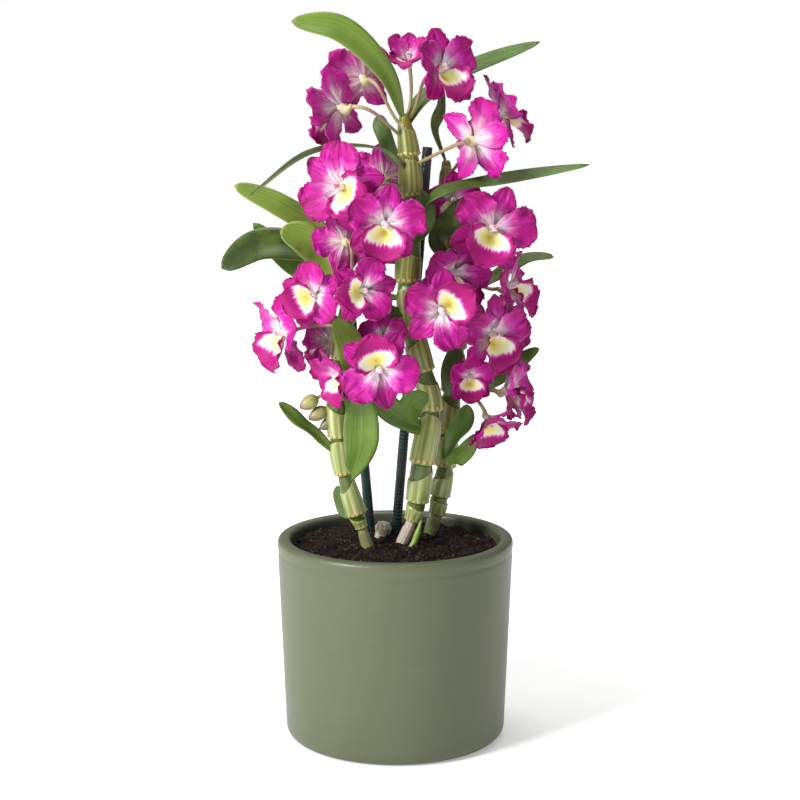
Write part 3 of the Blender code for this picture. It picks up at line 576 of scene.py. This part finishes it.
def cane_paint():
    """Striped sheaths, a dotted ring at each joint and a bare olive band below the next."""
    paint = Paint("cane_sheaths", 0.42, 0.35)
    s, turn, joint = paint.marks()
    angle = paint.times(turn, 2 * pi)
    # The stripes are read on a circle, so that they close on themselves.
    x = paint.times(paint.math("COSINE", angle), 4)
    y = paint.times(paint.math("SINE", angle), 4)
    along = paint.plus(paint.times(s, 0.5), joint)
    line = paint.node("ShaderNodeCombineXYZ", _0=x, _1=y, _2=along).outputs[0]
    stripes = paint.noise(line, 0.75, 3)
    fine = paint.noise(line, 2.6, 2)
    # These sheath colours are darkened as painted shade, for the sheaths among the blooms.
    dark = (0.34, (0.1, 0.11, 0.012)), (0.5, (0.19, 0.2, 0.038))
    sheath = paint.ramp(stripes, *dark, (0.6, (0.3, 0.31, 0.1)), (0.76, (0.58, 0.58, 0.37)))
    sheath = paint.mix(paint.ramp(fine, (0.45, 0), (0.7, 0.4)), sheath, (0.14, 0.175, 0.035))
    # Among the blooms the sheaths are darker and yellower, the darkness being painted shade under the
    # flowers; the lower sheaths are dry and silvery.
    height = paint.node("ShaderNodeSeparateXYZ", _0=paint.place()).outputs[2]
    dark = (0.34, (0.16, 0.21, 0.04)), (0.5, (0.29, 0.34, 0.11))
    silvery = paint.ramp(stripes, *dark, (0.64, (0.46, 0.49, 0.26)), (0.8, (0.78, 0.78, 0.62)))
    sheath = paint.mix(paint.ramp(height, (0.185, 0.8), (0.235, 0)), sheath, silvery)
    # The bare band is green below and ripens to olive at the top.
    dark, light = (0.3, (0.032, 0.056, 0.006)), (0.8, (0.17, 0.21, 0.04))
    bare = paint.ramp(fine, dark, (0.6, (0.085, 0.125, 0.014)), light)
    dark, light = (0.3, (0.1, 0.09, 0.008)), (0.8, (0.3, 0.27, 0.06))
    ripe = paint.ramp(fine, dark, (0.6, (0.2, 0.18, 0.02)), light)
    bare = paint.mix(paint.ramp(height, (0.31, 0), (0.34, 0.9)), bare, ripe)
    slant = paint.math("SINE", paint.plus(angle, paint.times(joint, SHEATH_TURN)))
    edge = paint.plus(paint.times(slant, SHEATH_SLANT), SHEATH_END)
    above = paint.plus(paint.minus(s, edge), 0.5)
    colour = paint.mix(paint.ramp(above, (0.49, 0), (0.51, 1)), sheath, bare)
    papery = paint.ramp(above, (0.465, 0), (0.485, 0.8), (0.505, 0))
    colour = paint.mix(papery, colour, (0.38, 0.31, 0.14))
    beads = paint.math("SINE", paint.times(angle, 14))
    beads = paint.ramp(beads, (0.2, (0.5, 0.43, 0.12)), (0.7, (0.17, 0.09, 0.02)))
    ring = paint.ramp(s, (0, 1), (0.035, 1), (0.07, 0), (0.965, 0), (0.985, 1))
    colour = paint.mix(paint.times(ring, 0.85), colour, beads)
    foot = paint.ramp(joint, (0, 0.75), (0.5, 0))
    paint.set("Roughness", paint.ramp(above, (0.49, 0.38), (0.51, 0.25)))
    paint.set("Coat Weight", 0.25)
    paint.set("Coat Roughness", 0.2)
    colour = paint.mix(foot, colour, (0.27, 0.28, 0.12))
    return paint.finish(colour, paint.plus(stripes, fine), 0.5, 0.0006)


def papery_paint(name, light, dark):
    """Dry, crumpled sheath: off-white with brown specks and lines."""
    paint = Paint(name, 0.85)
    grain = paint.grain((3, 26, 7), 4)
    specks = paint.ramp(paint.noise(paint.place(), 700, 3, 0.6), (0.56, 0), (0.66, 1))
    colour = paint.ramp(grain, (0.3, dark), (0.52, light), (0.75, shade(light, 1.25)))
    return paint.finish(paint.mix(paint.times(specks, 0.7), colour, dark), grain, 0.8, 0.0008)


def leaf_paint(name, back):
    """Green with close parallel veins; the underside is greyer."""
    paint = Paint(name, 0.55 if back else 0.38, 0.28)
    _, v, tone = paint.marks()
    lines = paint.grain((1.5, 15, 9), 2)
    cloud = paint.noise(paint.place(), 70, 3)
    if back:
        dark, middle, light = (0.1, 0.13, 0.06), (0.2, 0.27, 0.11), (0.34, 0.4, 0.2)
    else:
        dark, middle, light = (0.028, 0.042, 0.01), (0.07, 0.142, 0.016), (0.205, 0.292, 0.048)
    # The tone of each leaf is partly its own green and partly painted shade and light for how it is lit.
    colour = paint.ramp(tone, (0, dark), (0.5, middle), (1, light))
    colour = paint.mix(paint.ramp(lines, (0.35, 0.3), (0.6, 0)), colour, shade(dark, 0.55))
    colour = paint.mix(paint.ramp(cloud, (0.45, 0), (0.75, 0.25)), colour, light)
    colour = paint.mix(paint.ramp(cloud, (0.25, 0.25), (0.42, 0)), colour, shade(dark, 0.8))
    across = paint.math("ABSOLUTE", v)
    midrib = paint.times(paint.ramp(across, (0, 0.4), (0.05, 0)), tone)
    colour = paint.mix(midrib, colour, shade(light, 1.2))
    specks = paint.ramp(paint.noise(paint.place(), 420, 1), (0.7, 0), (0.76, 0.5))
    colour = paint.mix(specks, colour, (0.16, 0.13, 0.05))
    rim = paint.ramp(across, (0.93, 0), (1, 0.4))
    return paint.finish(paint.mix(rim, colour, (0.45, 0.52, 0.2)), lines, 0.35, 0.0008)


def bud_paint():
    """Green-yellow buds with a dark tip; a riper bud is darker."""
    paint = Paint("bud_green", 0.4)
    along, _, ripeness = paint.marks()
    base, tip = ((0, (0.22, 0.25, 0.06)), (0.45, (0.36, 0.37, 0.13))), (1, (0.2, 0.06, 0.07))
    young = paint.ramp(along, *base, (0.8, (0.3, 0.24, 0.11)), tip)
    base, tip = (0, (0.12, 0.13, 0.035)), (1, (0.1, 0.02, 0.04))
    ripe = paint.ramp(along, base, (0.5, (0.17, 0.12, 0.06)), tip)
    colour = paint.mix(ripeness, young, ripe)
    grain = paint.grain((2, 9, 7), 2)
    lines = paint.ramp(grain, (0.4, 0.35), (0.6, 0))
    return paint.finish(paint.mix(lines, colour, (0.15, 0.19, 0.05)), grain, 0.3, 0.0004)


def pot_paint():
    """Satin sage-green ceramic with faint rings and a soft mottle."""
    paint = Paint("pot_sage_ceramic", 0.42, 0.45)
    place = paint.place()
    rings = paint.noise(paint.scaled(place, (20, 20, 1100)), 1, 2)
    mottle = paint.noise(place, 28, 3)
    specks = paint.noise(place, 1100, 2)
    colour = paint.ramp(mottle, (0.3, (0.088, 0.101, 0.055)), (0.7, (0.095, 0.109, 0.06)))
    # Fine rings run round the wall, as left by the wheel.
    colour = paint.mix(paint.ramp(rings, (0.35, 0.3), (0.65, 0)), colour, (0.076, 0.088, 0.048))
    colour = paint.mix(paint.ramp(specks, (0.62, 0), (0.78, 0.25)), colour, (0.14, 0.155, 0.095))
    # The inside of the wall is darker and greyer.
    radius = paint.length(paint.scaled(place, (1, 1, 0)))
    inside = paint.ramp(paint.times(radius, 10), (0.625, 0.85), (0.645, 0))
    colour = paint.mix(inside, colour, (0.05, 0.052, 0.038))
    paint.set("Roughness", paint.ramp(mottle, (0.3, 0.38), (0.7, 0.46)))
    return paint.finish(colour, paint.plus(rings, paint.times(specks, 0.5)), 0.08, 0.0004)


def mix_paint():
    """Near-black peat and bark, with a few pale bits."""
    paint = Paint("potting_mix_dark", 0.95, 0.25)
    pale = paint.marks()[1]
    cloud = paint.noise(paint.place(), 260, 4, 0.6)
    dark, brown = (0.3, (0.003, 0.002, 0.0018)), (0.8, (0.032, 0.02, 0.015))
    colour = paint.ramp(cloud, dark, (0.55, (0.009, 0.0058, 0.0048)), brown)
    colour = paint.mix(pale, colour, (0.14, 0.085, 0.055))
    return paint.finish(colour, paint.noise(paint.place(), 900, 4, 0.7), 0.9, 0.001)


def stake_paint():
    """Glossy dark green coat with fine ribs round it."""
    paint = Paint("stake_dark_green", 0.25)
    along = paint.marks()[0]
    cloud = paint.noise(paint.place(), 90, 3)
    paint.set("Roughness", paint.ramp(cloud, (0.3, 0.18), (0.7, 0.35)))
    ribs = paint.math("SINE", paint.times(along, 2 * pi * STAKE_RIBS))
    colour = paint.ramp(cloud, (0.3, (0.006, 0.016, 0.016)), (0.7, (0.014, 0.034, 0.032)))
    return paint.finish(colour, paint.plus(ribs, cloud), 0.22, 0.0004)


def shoot_paint():
    """Fresh yellow-green with fine lengthwise lines."""
    paint = Paint("shoot_fresh_green", 0.4)
    along = paint.marks()[0]
    grain = paint.grain((2, 12, 7), 2)
    foot, tip = (0, (0.26, 0.28, 0.09)), (1, (0.17, 0.27, 0.03))
    colour = paint.ramp(along, foot, (0.5, (0.22, 0.31, 0.05)), tip)
    lines = paint.ramp(grain, (0.4, 0.4), (0.6, 0))
    return paint.finish(paint.mix(lines, colour, (0.14, 0.26, 0.03)), grain, 0.4, 0.0004)


# The pot and what fills it.


def make_pot():
    """The same wall, floor, lip and foot as the solid, turned in many more steps."""
    inner_top = POT_TOP_RADIUS - POT_WALL
    inner_foot = POT_FOOT_RADIUS - POT_WALL
    lip_middle = POT_TOP_RADIUS - POT_LIP_ROUND
    lip_z = POT_HEIGHT - POT_LIP_ROUND
    inset, corner_z = POT_CORNER
    profile = [(inner_foot - inset, POT_FLOOR)]
    for i in range(9):
        share = i / 8
        radius = inner_foot + (inner_top - inner_foot) * share
        profile.append((radius, corner_z + (lip_z - corner_z) * share))
    for i in range(1, 16):
        a = pi * (1 - i / 16)
        across = copysign(abs(cos(a)) ** POT_LIP_SQUARENESS, cos(a))
        rise = sin(a) ** POT_LIP_SQUARENESS
        profile.append((lip_middle + POT_LIP_ROUND * across, lip_z + POT_LIP_ROUND * rise))
    foot_z = POT_FOOT_ROUND
    for i in range(48):
        z = lip_z + (foot_z - lip_z) * (i / 48) ** 1.8
        radius = POT_FOOT_RADIUS + (POT_TOP_RADIUS - POT_FOOT_RADIUS) * (z - foot_z) / (lip_z - foot_z)
        # A shallow ring is turned into the wall just below the lip.
        off = (POT_HEIGHT - z - POT_GROOVE["below"]) / POT_GROOVE["half_width"]
        profile.append((radius - POT_GROOVE["depth"] * exp(-(off**2)), z))
    foot_middle = POT_FOOT_RADIUS - POT_FOOT_ROUND
    for i in range(11):
        a = -pi / 2 * i / 10
        profile.append((foot_middle + POT_FOOT_ROUND * cos(a), POT_FOOT_ROUND * (1 + sin(a))))
    # The walls run from the inside up, over the lip and down, so the rings are turned to face out.
    rings = np.array([level_ring(radius, 0.0, z, POT_SEGMENTS) for radius, z in profile[::-1]])
    pile = Pile()
    pile.tube(rings, np.zeros(rings.shape))
    dress(pile.build("pot_glazed", [pot_paint()], scale=1.0), "pot_ceramic", "pot")


def soil_height(x, y):
    reach = min(1.0, hypot(x, y) / (POT_TOP_RADIUS - POT_WALL))
    lumps = sin(190 * x + 1.3) * sin(170 * y + 0.4) + 0.7 * sin(330 * x - 260 * y)
    base = SOIL_LEVEL + SOIL_MOUND * (1 - reach**2) + 0.0012 * lumps
    place = Vector((x, y, 0))
    grades = ((160, 0.0009), (420, 0.0008), (900, 0.0005))
    rough = sum(noise.noise(place * fineness) * size for fineness, size in grades)
    return base + rough * (1 - 0.4 * reach)


def drop_on_disc(radius):
    """A random place on a disc, as likely anywhere on it."""
    r, a = radius * sqrt(rng.random()), 2 * pi * rng.random()
    return r * cos(a), r * sin(a)


def add_crumb(pile, edge):
    """A lump with eight faces, some stretched, a few pale."""
    x, y = drop_on_disc(edge)
    size = rng.uniform(0.0004, 0.0015)
    angle = rng.uniform(0, 6.28)
    turn = Matrix.Rotation(angle, 3, Vector((rng.random(), rng.random(), rng.random() + 0.1)))
    corners = np.array([(1, 0, 0), (-1, 0, 0), (0, 1, 0), (0, -1, 0), (0, 0, 1), (0, 0, -1)], float)
    shape = corners * [[rng.uniform(0.5, 1.4)] for _ in corners] * (1.0, rng.uniform(0.5, 1), 0.6)
    points = shape @ np.array(turn).T * size + (x, y, soil_height(x, y) + size * 0.2)
    pale = 0.8 * rng.random() ** 6
    faces = [(0, 2, 4), (2, 1, 4), (1, 3, 4), (3, 0, 4), (2, 0, 5), (1, 2, 5), (3, 1, 5), (0, 3, 5)]
    pile.add(points, [(1, pale, rng.random())] * len(corners), faces, [0] * len(faces))


def add_fibre(pile, edge):
    """A thin bent root that follows the surface and stays inside the edge."""
    x, y = drop_on_disc(edge * 0.97)
    heading, length, bend = rng.uniform(0, 6.28), rng.uniform(0.002, 0.007), rng.uniform(-1.5, 1.5)
    path = []
    for i in range(5):
        f = i / 4 - 0.5
        px = x + length * f * cos(heading + bend * f)
        py = y + length * f * sin(heading + bend * f)
        shrink = min(1.0, edge * 0.985 / max(1e-6, hypot(px, py)))
        px, py = px * shrink, py * shrink
        path.append((px, py, soil_height(px, py) + 0.0003 + rng.uniform(0, 0.0006)))
    rings = rings_round(np.array(path), [0.00016] * 5, 4)
    pile.tube(rings, [(2, 0.5 * rng.random() ** 2, 0)] * 20)


def make_mix():
    """The top of the mix as a rough field, with crumbs and fibres lying on it."""
    outside = POT_FOOT_RADIUS + (POT_TOP_RADIUS - POT_FOOT_RADIUS) * SOIL_LEVEL / POT_HEIGHT
    edge = outside - POT_WALL - SOIL_GAP
    spokes = [(cos(a), sin(a)) for a in turns(SOIL_SPOKES)]
    rings = []
    for ring in range(1, SOIL_RINGS + 1):
        r = edge * ring / SOIL_RINGS
        rings.append([(r * x, r * y, soil_height(r * x, r * y)) for x, y in spokes])
    rings.append([(0.985 * edge * x, 0.985 * edge * y, SOIL_LEVEL - 0.02) for x, y in spokes])
    pile = Pile()
    pile.tube(np.array(rings[::-1]), np.zeros((len(rings) * SOIL_SPOKES, 3)))
    for _ in range(CRUMBS):
        add_crumb(pile, edge * 0.985)
    for _ in range(FIBRES):
        add_fibre(pile, edge)
    mix = pile.build("potting_mix_surface", [mix_paint()], scale=1.0)
    mix.data.polygons.foreach_set("use_smooth", [False] * len(mix.data.polygons))
    dress(mix, "potting_mix", "potting_mix")


# The flowers, in millimetres.


def tepal_grid(kind, turn, extra_cup, draw, rows=26, columns=15):
    """The middle surface of a sepal or petal, t from root to tip and v from edge to edge."""
    s = shares(rows)[:, None]
    t = 1 - (1 - s) ** 1.6
    v = np.linspace(-1, 1, columns)[None, :]
    lift = radians(kind["lift"] + extra_cup + draw.uniform(-3, 3))
    curl = radians(kind["curl"] + draw.uniform(-5, 5))
    slope = lift - curl * t
    length = kind["length"]
    reach = 1.0 + length * (sin(lift) - np.sin(slope)) / curl
    height = kind["z"] + length * (np.cos(slope) - cos(lift)) / curl
    peak = kind["p"] / (kind["p"] + kind["q"])
    largest = peak ** kind["p"] * (1 - peak) ** kind["q"]
    width = kind["half_width"] * t ** kind["p"] * (1 - t) ** kind["q"] / largest
    width = np.maximum(width, 1.6 * (1 - t)) * (1 - 0.22 * np.clip((t - 0.55) / 0.45, 0, 1) ** 1.5)
    a = radians(turn + draw.uniform(-2, 2))
    outward = np.array((sin(a), cos(a), 0.0))
    side = np.array((cos(a), -sin(a), 0.0))
    upward = np.array((0, 0, 1.0))
    normal = outward * -np.sin(slope)[..., None] + upward * np.cos(slope)[..., None]
    frill = kind["frill"]
    grown = np.clip((t - 0.12) / 0.3, 0, 1)
    wave = frill * np.sin(2 * pi * (2.4 * t + 0.15 * v)) * v**2
    for amount, cycles, power in ((0.75, 3.3, 3), (0.45, 7.0, 4), (0.22, 15.0, 6)):
        phase = draw.uniform(0, 1) + 0.3 * np.sign(v)
        ripple = np.sin(2 * pi * (cycles * t + phase)) * np.abs(v) ** power
        wave = wave + amount * max(frill, 0.8) * ripple * grown
    bulge = np.sin(pi * np.abs(v) ** 0.8) * np.sin(pi * t) * (1 + 0.5 * np.sin(9 * t + 3 * v))
    bulge = bulge * draw.uniform(0.3, 0.9)
    groove = -0.7 * np.exp(-((v / 0.11) ** 2)) * np.sin(pi * np.minimum(t * 1.05, 1.0)) ** 0.5
    twist = radians(draw.uniform(-26, 26)) * t**1.5
    sway = draw.uniform(-1.8, 1.8) * t**2
    ragged = 1 + 0.035 * np.sin(2 * pi * (9 * t + draw.random()))
    ragged = ragged + 0.02 * np.sin(2 * pi * (21 * t + draw.random()))
    spread = width * ragged * v * np.cos(twist) + sway
    rise = kind["cup"] * width * v**2 + wave + bulge + groove + width * v * np.sin(twist)
    points = outward * reach[..., None] + upward * height[..., None]
    points = points + side * spread[..., None] + normal * rise[..., None]
    return points, triples(t, v, draw.random())


def lip_grid(draw, rows=34, columns=31):
    """A scoop whose sides rise round the column and whose tip turns down, with a ruffled edge."""
    u = shares(rows)
    v = np.linspace(-1, 1, columns)[None, :]
    half_width, y, z, forward, up = (column[:, None] for column in smooth_table(LIP, u).T)
    bend = v**2
    u = u[:, None]
    edge = np.maximum(np.abs(v) ** 4, np.clip((u - 0.8) / 0.2, 0, 1) ** 2) * np.clip(u / 0.3, 0, 1)
    phase = draw.uniform(0, 6.28)
    ruffle = 1.2 * edge * np.sin(24 * u + 7 * v + phase) + 0.5 * edge * np.sin(61 * u + 23 * v)
    x = half_width * v * (1 + 0.05 * np.sin(29 * u + phase) * edge + 0.02 * np.sin(67 * u) * edge)
    points = triples(x, y + up * bend + 0.5 * ruffle, z + forward * bend + ruffle)
    return points, triples(u, v, draw.random())


def add_column(pile, rows=22, sides=14):
    stations = smooth_table(COLUMN, shares(rows))
    rings = np.array([level_ring(*station, sides) for station in stations])
    pile.tube(rings, tube_marks(rows, sides), slot=3)


def flower_matrix(centre, azimuth, elevation, roll, size):
    """How a flower is turned and where it is. Its own X is right, Y up and Z out of its face."""
    az, el = radians(azimuth), radians(elevation)
    out = Vector((sin(az) * cos(el), -cos(az) * cos(el), sin(el)))
    right = Vector((0, 0, 1)).cross(out).normalized()
    up = out.cross(right)
    turned = Matrix.Rotation(-radians(roll), 3, "Z")
    basis = Matrix((right, up, out)).transposed() @ turned
    return np.array(basis * size), np.array(centre, float)


def make_blooms(paints):
    """Every flower in its place. It gives back where each one's stalk starts and ends."""
    places = []
    for number, (cane, height, centre, azimuth, elevation, roll, size, cup) in enumerate(BLOOMS, 1):
        draw = random.Random(SEED * 100 + number)
        pile = Pile()
        for turn, kind in TEPALS:
            pile.sheet(*tepal_grid(kind, turn, cup, draw), PETAL_THICKNESS, front=0, back=1)
        pile.sheet(*lip_grid(draw), PETAL_THICKNESS, front=2, back=2)
        add_column(pile)
        basis, middle = flower_matrix(centre, azimuth, elevation, roll, size)
        pile.points = [points @ basis.T + middle for points in pile.points]
        name = f"bloom_{number:02d}"
        bloom = pile.build(name + "_petals", paints)
        dress(bloom, "petal_magenta", name)
        places.append((cane, height, basis, middle))
    return places


# The canes.


def point_on_cane(name, height):
    """The point of a cane's middle line at a height."""
    joints = [np.array(joint[0], float) for joint in CANES[name]]
    for low, high in zip(joints, joints[1:]):
        if low[2] <= height <= high[2]:
            return low + (high - low) * (height - low[2]) / (high[2] - low[2])
    return joints[-1]


def add_cane(pile, name, steps=18, sides=44):
    """Sheath over sheath: each starts at a ring, swells, and ends on a slant above the bare band."""
    joints = CANES[name]
    points = np.array([joint[0] for joint in joints], float)
    angle = turns(sides)
    turn = angle / (2 * pi)
    # Only the middle cane stands on a dry foot.
    dry = int(name == MIDDLE)
    path = [points[0] - unit(points[1] - points[0]) * ROOTED]
    radii = [np.full(sides, joints[0][1])]
    marks = [triples(0.2, turn, 0.0)]
    slots = [dry]
    for i in range(len(joints) - 1):
        neck, sheath = joints[i][1], joints[i][2]
        following = joints[i + 1][1]
        for step in range(steps):
            s = step / steps
            place = smooth_table(points, [(i + s) / (len(points) - 1)])[0]
            edge = SHEATH_END + SHEATH_SLANT * np.sin(angle + SHEATH_TURN * i)
            covered = np.clip((edge - s) / 0.03, 0, 1)
            low = 0.35 if i else 0.0
            swell = sin(pi * min(1.0, (s + low * (1 - s)) / 1.05)) ** 0.8
            outer = neck + (following - neck) * s + (sheath - neck) * swell + 0.25
            inner = neck + (following - neck) * s + (sheath - neck) * swell * 0.8 - 0.25
            radius = inner + (outer - inner) * covered
            ring = 0.45 * exp(-((min(s, 1 - s) / 0.025) ** 2))
            path.append(place)
            radii.append(radius + ring)
            # The foot has no sheath, so it is marked as bare.
            marks.append(triples(s if i else 0.93, turn, float(i)))
            slots.append(dry if i == 0 else 0)
    path.append(points[-1])
    radii.append(np.full(sides, joints[-1][1] * 0.7))
    marks.append(triples(0.9, turn, float(len(joints))))
    rings = rings_round(np.array(path), np.array(radii), sides)
    pile.tube(rings, np.array(marks), slots=slots)


def add_leaf(pile, curve, half_width, face, tone, draw, rows=34, columns=11):
    """A blade along a curve, folded along its midrib, with a slow wave at its edges."""
    t = shares(rows)
    path = smooth_table(curve, t)
    tangent = unit(np.gradient(path, axis=0))
    side = unit(np.cross(tangent, np.array(face, float)))
    normal = np.cross(side, tangent)
    width = half_width * np.minimum(1.0, (t + 0.03) ** 0.95 * (1 - t) ** 0.55 / 0.39)
    v = np.linspace(-1, 1, columns)[None, :]
    fold = 0.22 * width[:, None] * (np.sqrt(v**2 + 0.01) - 0.1)
    wave = 0.5 * np.sin(2 * pi * (1.7 * t[:, None] + draw.random()) + v) * v**2
    points = path[:, None] + side[:, None] * (width[:, None] * v)[..., None]
    points = points + normal[:, None] * (fold + wave)[..., None]
    pile.sheet(points, triples(t[:, None], v, tone), LEAF_THICKNESS, front=0, back=1)


def add_stalk(pile, cane, height, basis, middle, rows=16, sides=10):
    """A flower's stalk from the cane to the back of the flower."""
    start = point_on_cane(cane, height)
    end = middle + basis @ np.array((0, 0, FLOWER_BACK + 0.3))
    back = unit(basis @ np.array((0, 0, -1.0)))
    outward = end - start
    reach = np.linalg.norm(outward)
    outward = np.array((outward[0], outward[1], 0.0))
    leave = unit(outward) * 0.3 * reach + np.array((0, 0, 0.1 * reach))
    t = shares(rows)[:, None]
    b, c = start + leave, end + back * 0.4 * reach
    path = start * (1 - t) ** 3 + b * 3 * t * (1 - t) ** 2 + c * 3 * t * t * (1 - t) + end * t**3
    radii = 0.95 + 0.25 * t[:, 0] ** 3 + 0.3 * np.exp(-t[:, 0] * 12)
    pile.tube(rings_round(path, radii, sides), tube_marks(rows, sides, reach % 1))


def add_buds(stalks, buds):
    """Buds on stalks that spring from one root. Each is riper than the one before."""
    root = np.array(BUD_ROOT, float)
    for number, (tip, length, half_width) in enumerate(BUDS):
        tip = np.array(tip, float)
        crown = tip + unit(np.array((2.0, 1.0, 1.0))) * length
        middle = (root + crown) / 2 + (0, 0, 4)
        path = smooth_table([root, middle, crown, crown + (tip - crown) * 0.3], shares(12))
        stalks.tube(rings_round(path, [1.0] * 12, 10), tube_marks(12, 10, 0.5))
        f = shares(16)
        shape = np.sin(pi * (0.08 + 0.92 * f) ** 0.85) ** 0.7
        radii = half_width * np.maximum(shape, 0.08)
        rings = rings_round(crown + (tip - crown) * f[:, None], radii, 16)
        buds.tube(rings, tube_marks(16, 16, 0.4 * number))


def make_canes(places):
    """Each cane's stem, leaves and flower stalks, and the buds of the left one."""
    sheath_mats = [cane_paint(), papery_paint("dry_cane_foot", (0.52, 0.46, 0.38), (0.2, 0.14, 0.09))]
    leaf_mats = [leaf_paint("leaf_upper", False), leaf_paint("leaf_under", True)]
    stalk_mats = [stalk_paint()]
    for name in CANES:
        stem = Pile()
        add_cane(stem, name)
        dress(stem.build(name + "_stem", sheath_mats), "cane_green", name)
        foliage = Pile()
        draw = random.Random(SEED + len(name))
        for leaf in LEAVES[name]:
            add_leaf(foliage, *leaf, draw)
        dress(foliage.build(name + "_leaves", leaf_mats), "cane_green")
        stalks = Pile()
        for cane, height, basis, middle in places:
            if cane == name:
                add_stalk(stalks, cane, height, basis, middle)
        if name == LEFT:
            buds = Pile()
            add_buds(stalks, buds)
            dress(buds.build(name + "_buds", [bud_paint()]), "cane_green")
        dress(stalks.build(name + "_stalks", stalk_mats), "cane_green")


def make_rod(name, path, radii, sides, mat, slot, node):
    """One closed tube along a path, as a piece of its own."""
    pile = Pile()
    pile.tube(rings_round(path, radii, sides), tube_marks(len(path), sides))
    dress(pile.build(name, [mat]), slot, node)


def make_stakes():
    mat = stake_paint()
    for name, foot, top in (
        ("stake_middle", (0, 20, 113), (19, 22, 350)),
        ("stake_left", (-15, 32, 113), (-26, 18, 249)),
    ):
        foot, top = np.array(foot, float), np.array(top, float)
        axis = unit(top - foot)
        f = shares(40)
        path = foot - axis * ROOTED + (top - foot + axis * ROOTED) * f[:, None]
        # The coat has a faint knuckle every few centimetres, as a cane does.
        radii = 3.0 + 0.18 * np.exp(-((((f * 6) % 1 - 0.5) / 0.05) ** 2))
        path = np.vstack([path, top - axis * 0.1, top])
        radii = np.concatenate([radii[:-1], [2.9, 2.4, 1.2]])
        make_rod(name + "_coat", path, radii, 24, mat, "stake_green", name)


def make_stub(rows=24, sides=28):
    f, angle = shares(rows), turns(sides)
    path = smooth_table([(-11, 18, 103), (-8.4, 18, 116), (-7.6, 18, 120), (-7, 18, 125)], f)
    radii = np.interp(f, (0, 0.55, 0.8, 1), (4.2, 4.2, 5.0, 3.4))
    crumple = 0.35 * np.sin(7 * angle) + 0.2 * np.sin(17 * angle + 1)
    ragged = radii[:, None] + crumple[None, :] * np.linspace(0.3, 1, rows)[:, None]
    mat = papery_paint("dry_stub", (0.5, 0.47, 0.36), (0.16, 0.12, 0.07))
    make_rod("old_cane_stub_husk", path, ragged, sides, mat, "papery_sheath", "old_cane_stub")


def make_shoot(rows=24, sides=14):
    f = shares(rows)
    path = smooth_table([(5.5, -14.5, 105), (9.3, -12.3, 116), (12, -11, 122), (15.5, -9.5, 133)], f)
    radii = np.interp(f, (0, 0.4, 0.75, 1), (1.8, 1.8, 1.9, 0.5))
    make_rod("new_shoot_leaf", path, radii, sides, shoot_paint(), "shoot_green", "new_shoot")


# The studio.


def make_floor():
    corners = [(-FLOOR, -FLOOR, 0), (FLOOR, -FLOOR, 0), (FLOOR, FLOOR, 0), (-FLOOR, FLOOR, 0)]
    mesh = bpy.data.meshes.new("floor")
    mesh.from_pydata(corners, [], [(0, 1, 2, 3)])
    floor = put_in_scene("floor", mesh)
    paint = Paint("floor_pale", 0.9)
    grain = paint.noise(paint.place(), 30.0, 3.0)
    paint.set("Base Color", paint.ramp(grain, (0.3, (0.8, 0.8, 0.79)), (0.7, (0.83, 0.83, 0.82))))
    paint.set("Emission Color", (1.0, 1.0, 1.0))
    # The floor glows more with distance, so that it meets the white backdrop.
    far = paint.length(paint.place())
    paint.set("Emission Strength", paint.ramp(far, (0.15, 0.3), (0.9, 0.8)))
    mesh.materials.append(paint.material)


def add_light(name, place, aim, size, power):
    light = bpy.data.lights.new(name, "AREA")
    light.shape = "SQUARE"
    light.size = size
    light.energy = power
    obj = put_in_scene(name, light)
    obj.location = place
    obj.rotation_euler = (Vector(aim) - Vector(place)).to_track_quat("-Z", "Y").to_euler()


def make_studio():
    world = bpy.data.worlds.new("studio")
    world.use_nodes = True
    tree = world.node_tree
    background = tree.nodes["Background"]
    background.inputs["Color"].default_value = (1.0, 1.0, 1.0, 1.0)
    # The backdrop is seen white, and lights the object more softly.
    seen = tree.nodes.new("ShaderNodeLightPath")
    level = tree.nodes.new("ShaderNodeMapRange")
    level.inputs["To Min"].default_value = AMBIENT
    level.inputs["To Max"].default_value = 1.0
    tree.links.new(seen.outputs["Is Camera Ray"], level.inputs["Value"])
    tree.links.new(level.outputs["Result"], background.inputs["Strength"])
    bpy.context.scene.world = world
    bpy.context.scene.view_settings.view_transform = "Standard"
    aim = (0, 0, 0.22)
    add_light("key", (-1.25, -1.05, 1.0), aim, 0.5, 44)
    add_light("fill", (1.2, -1.0, 0.6), aim, 0.8, 1)
    add_light("top", (0.0, 0.2, 1.6), aim, 0.7, 14)
    camera = bpy.data.cameras.new("camera")
    camera.sensor_width = 36.0
    camera.lens = CAMERA_LENS
    obj = put_in_scene("camera", camera)
    obj.location = CAMERA_PLACE
    obj.rotation_euler = (radians(CAMERA_TILT), 0, 0)
    bpy.context.scene.camera = obj


make_pot()
make_mix()
petals = [petal_paint("petal_front", False), petal_paint("petal_back", True)]
make_canes(make_blooms([*petals, lip_paint(), column_paint()]))
make_stakes()
make_stub()
make_shoot()
make_floor()
make_studio()
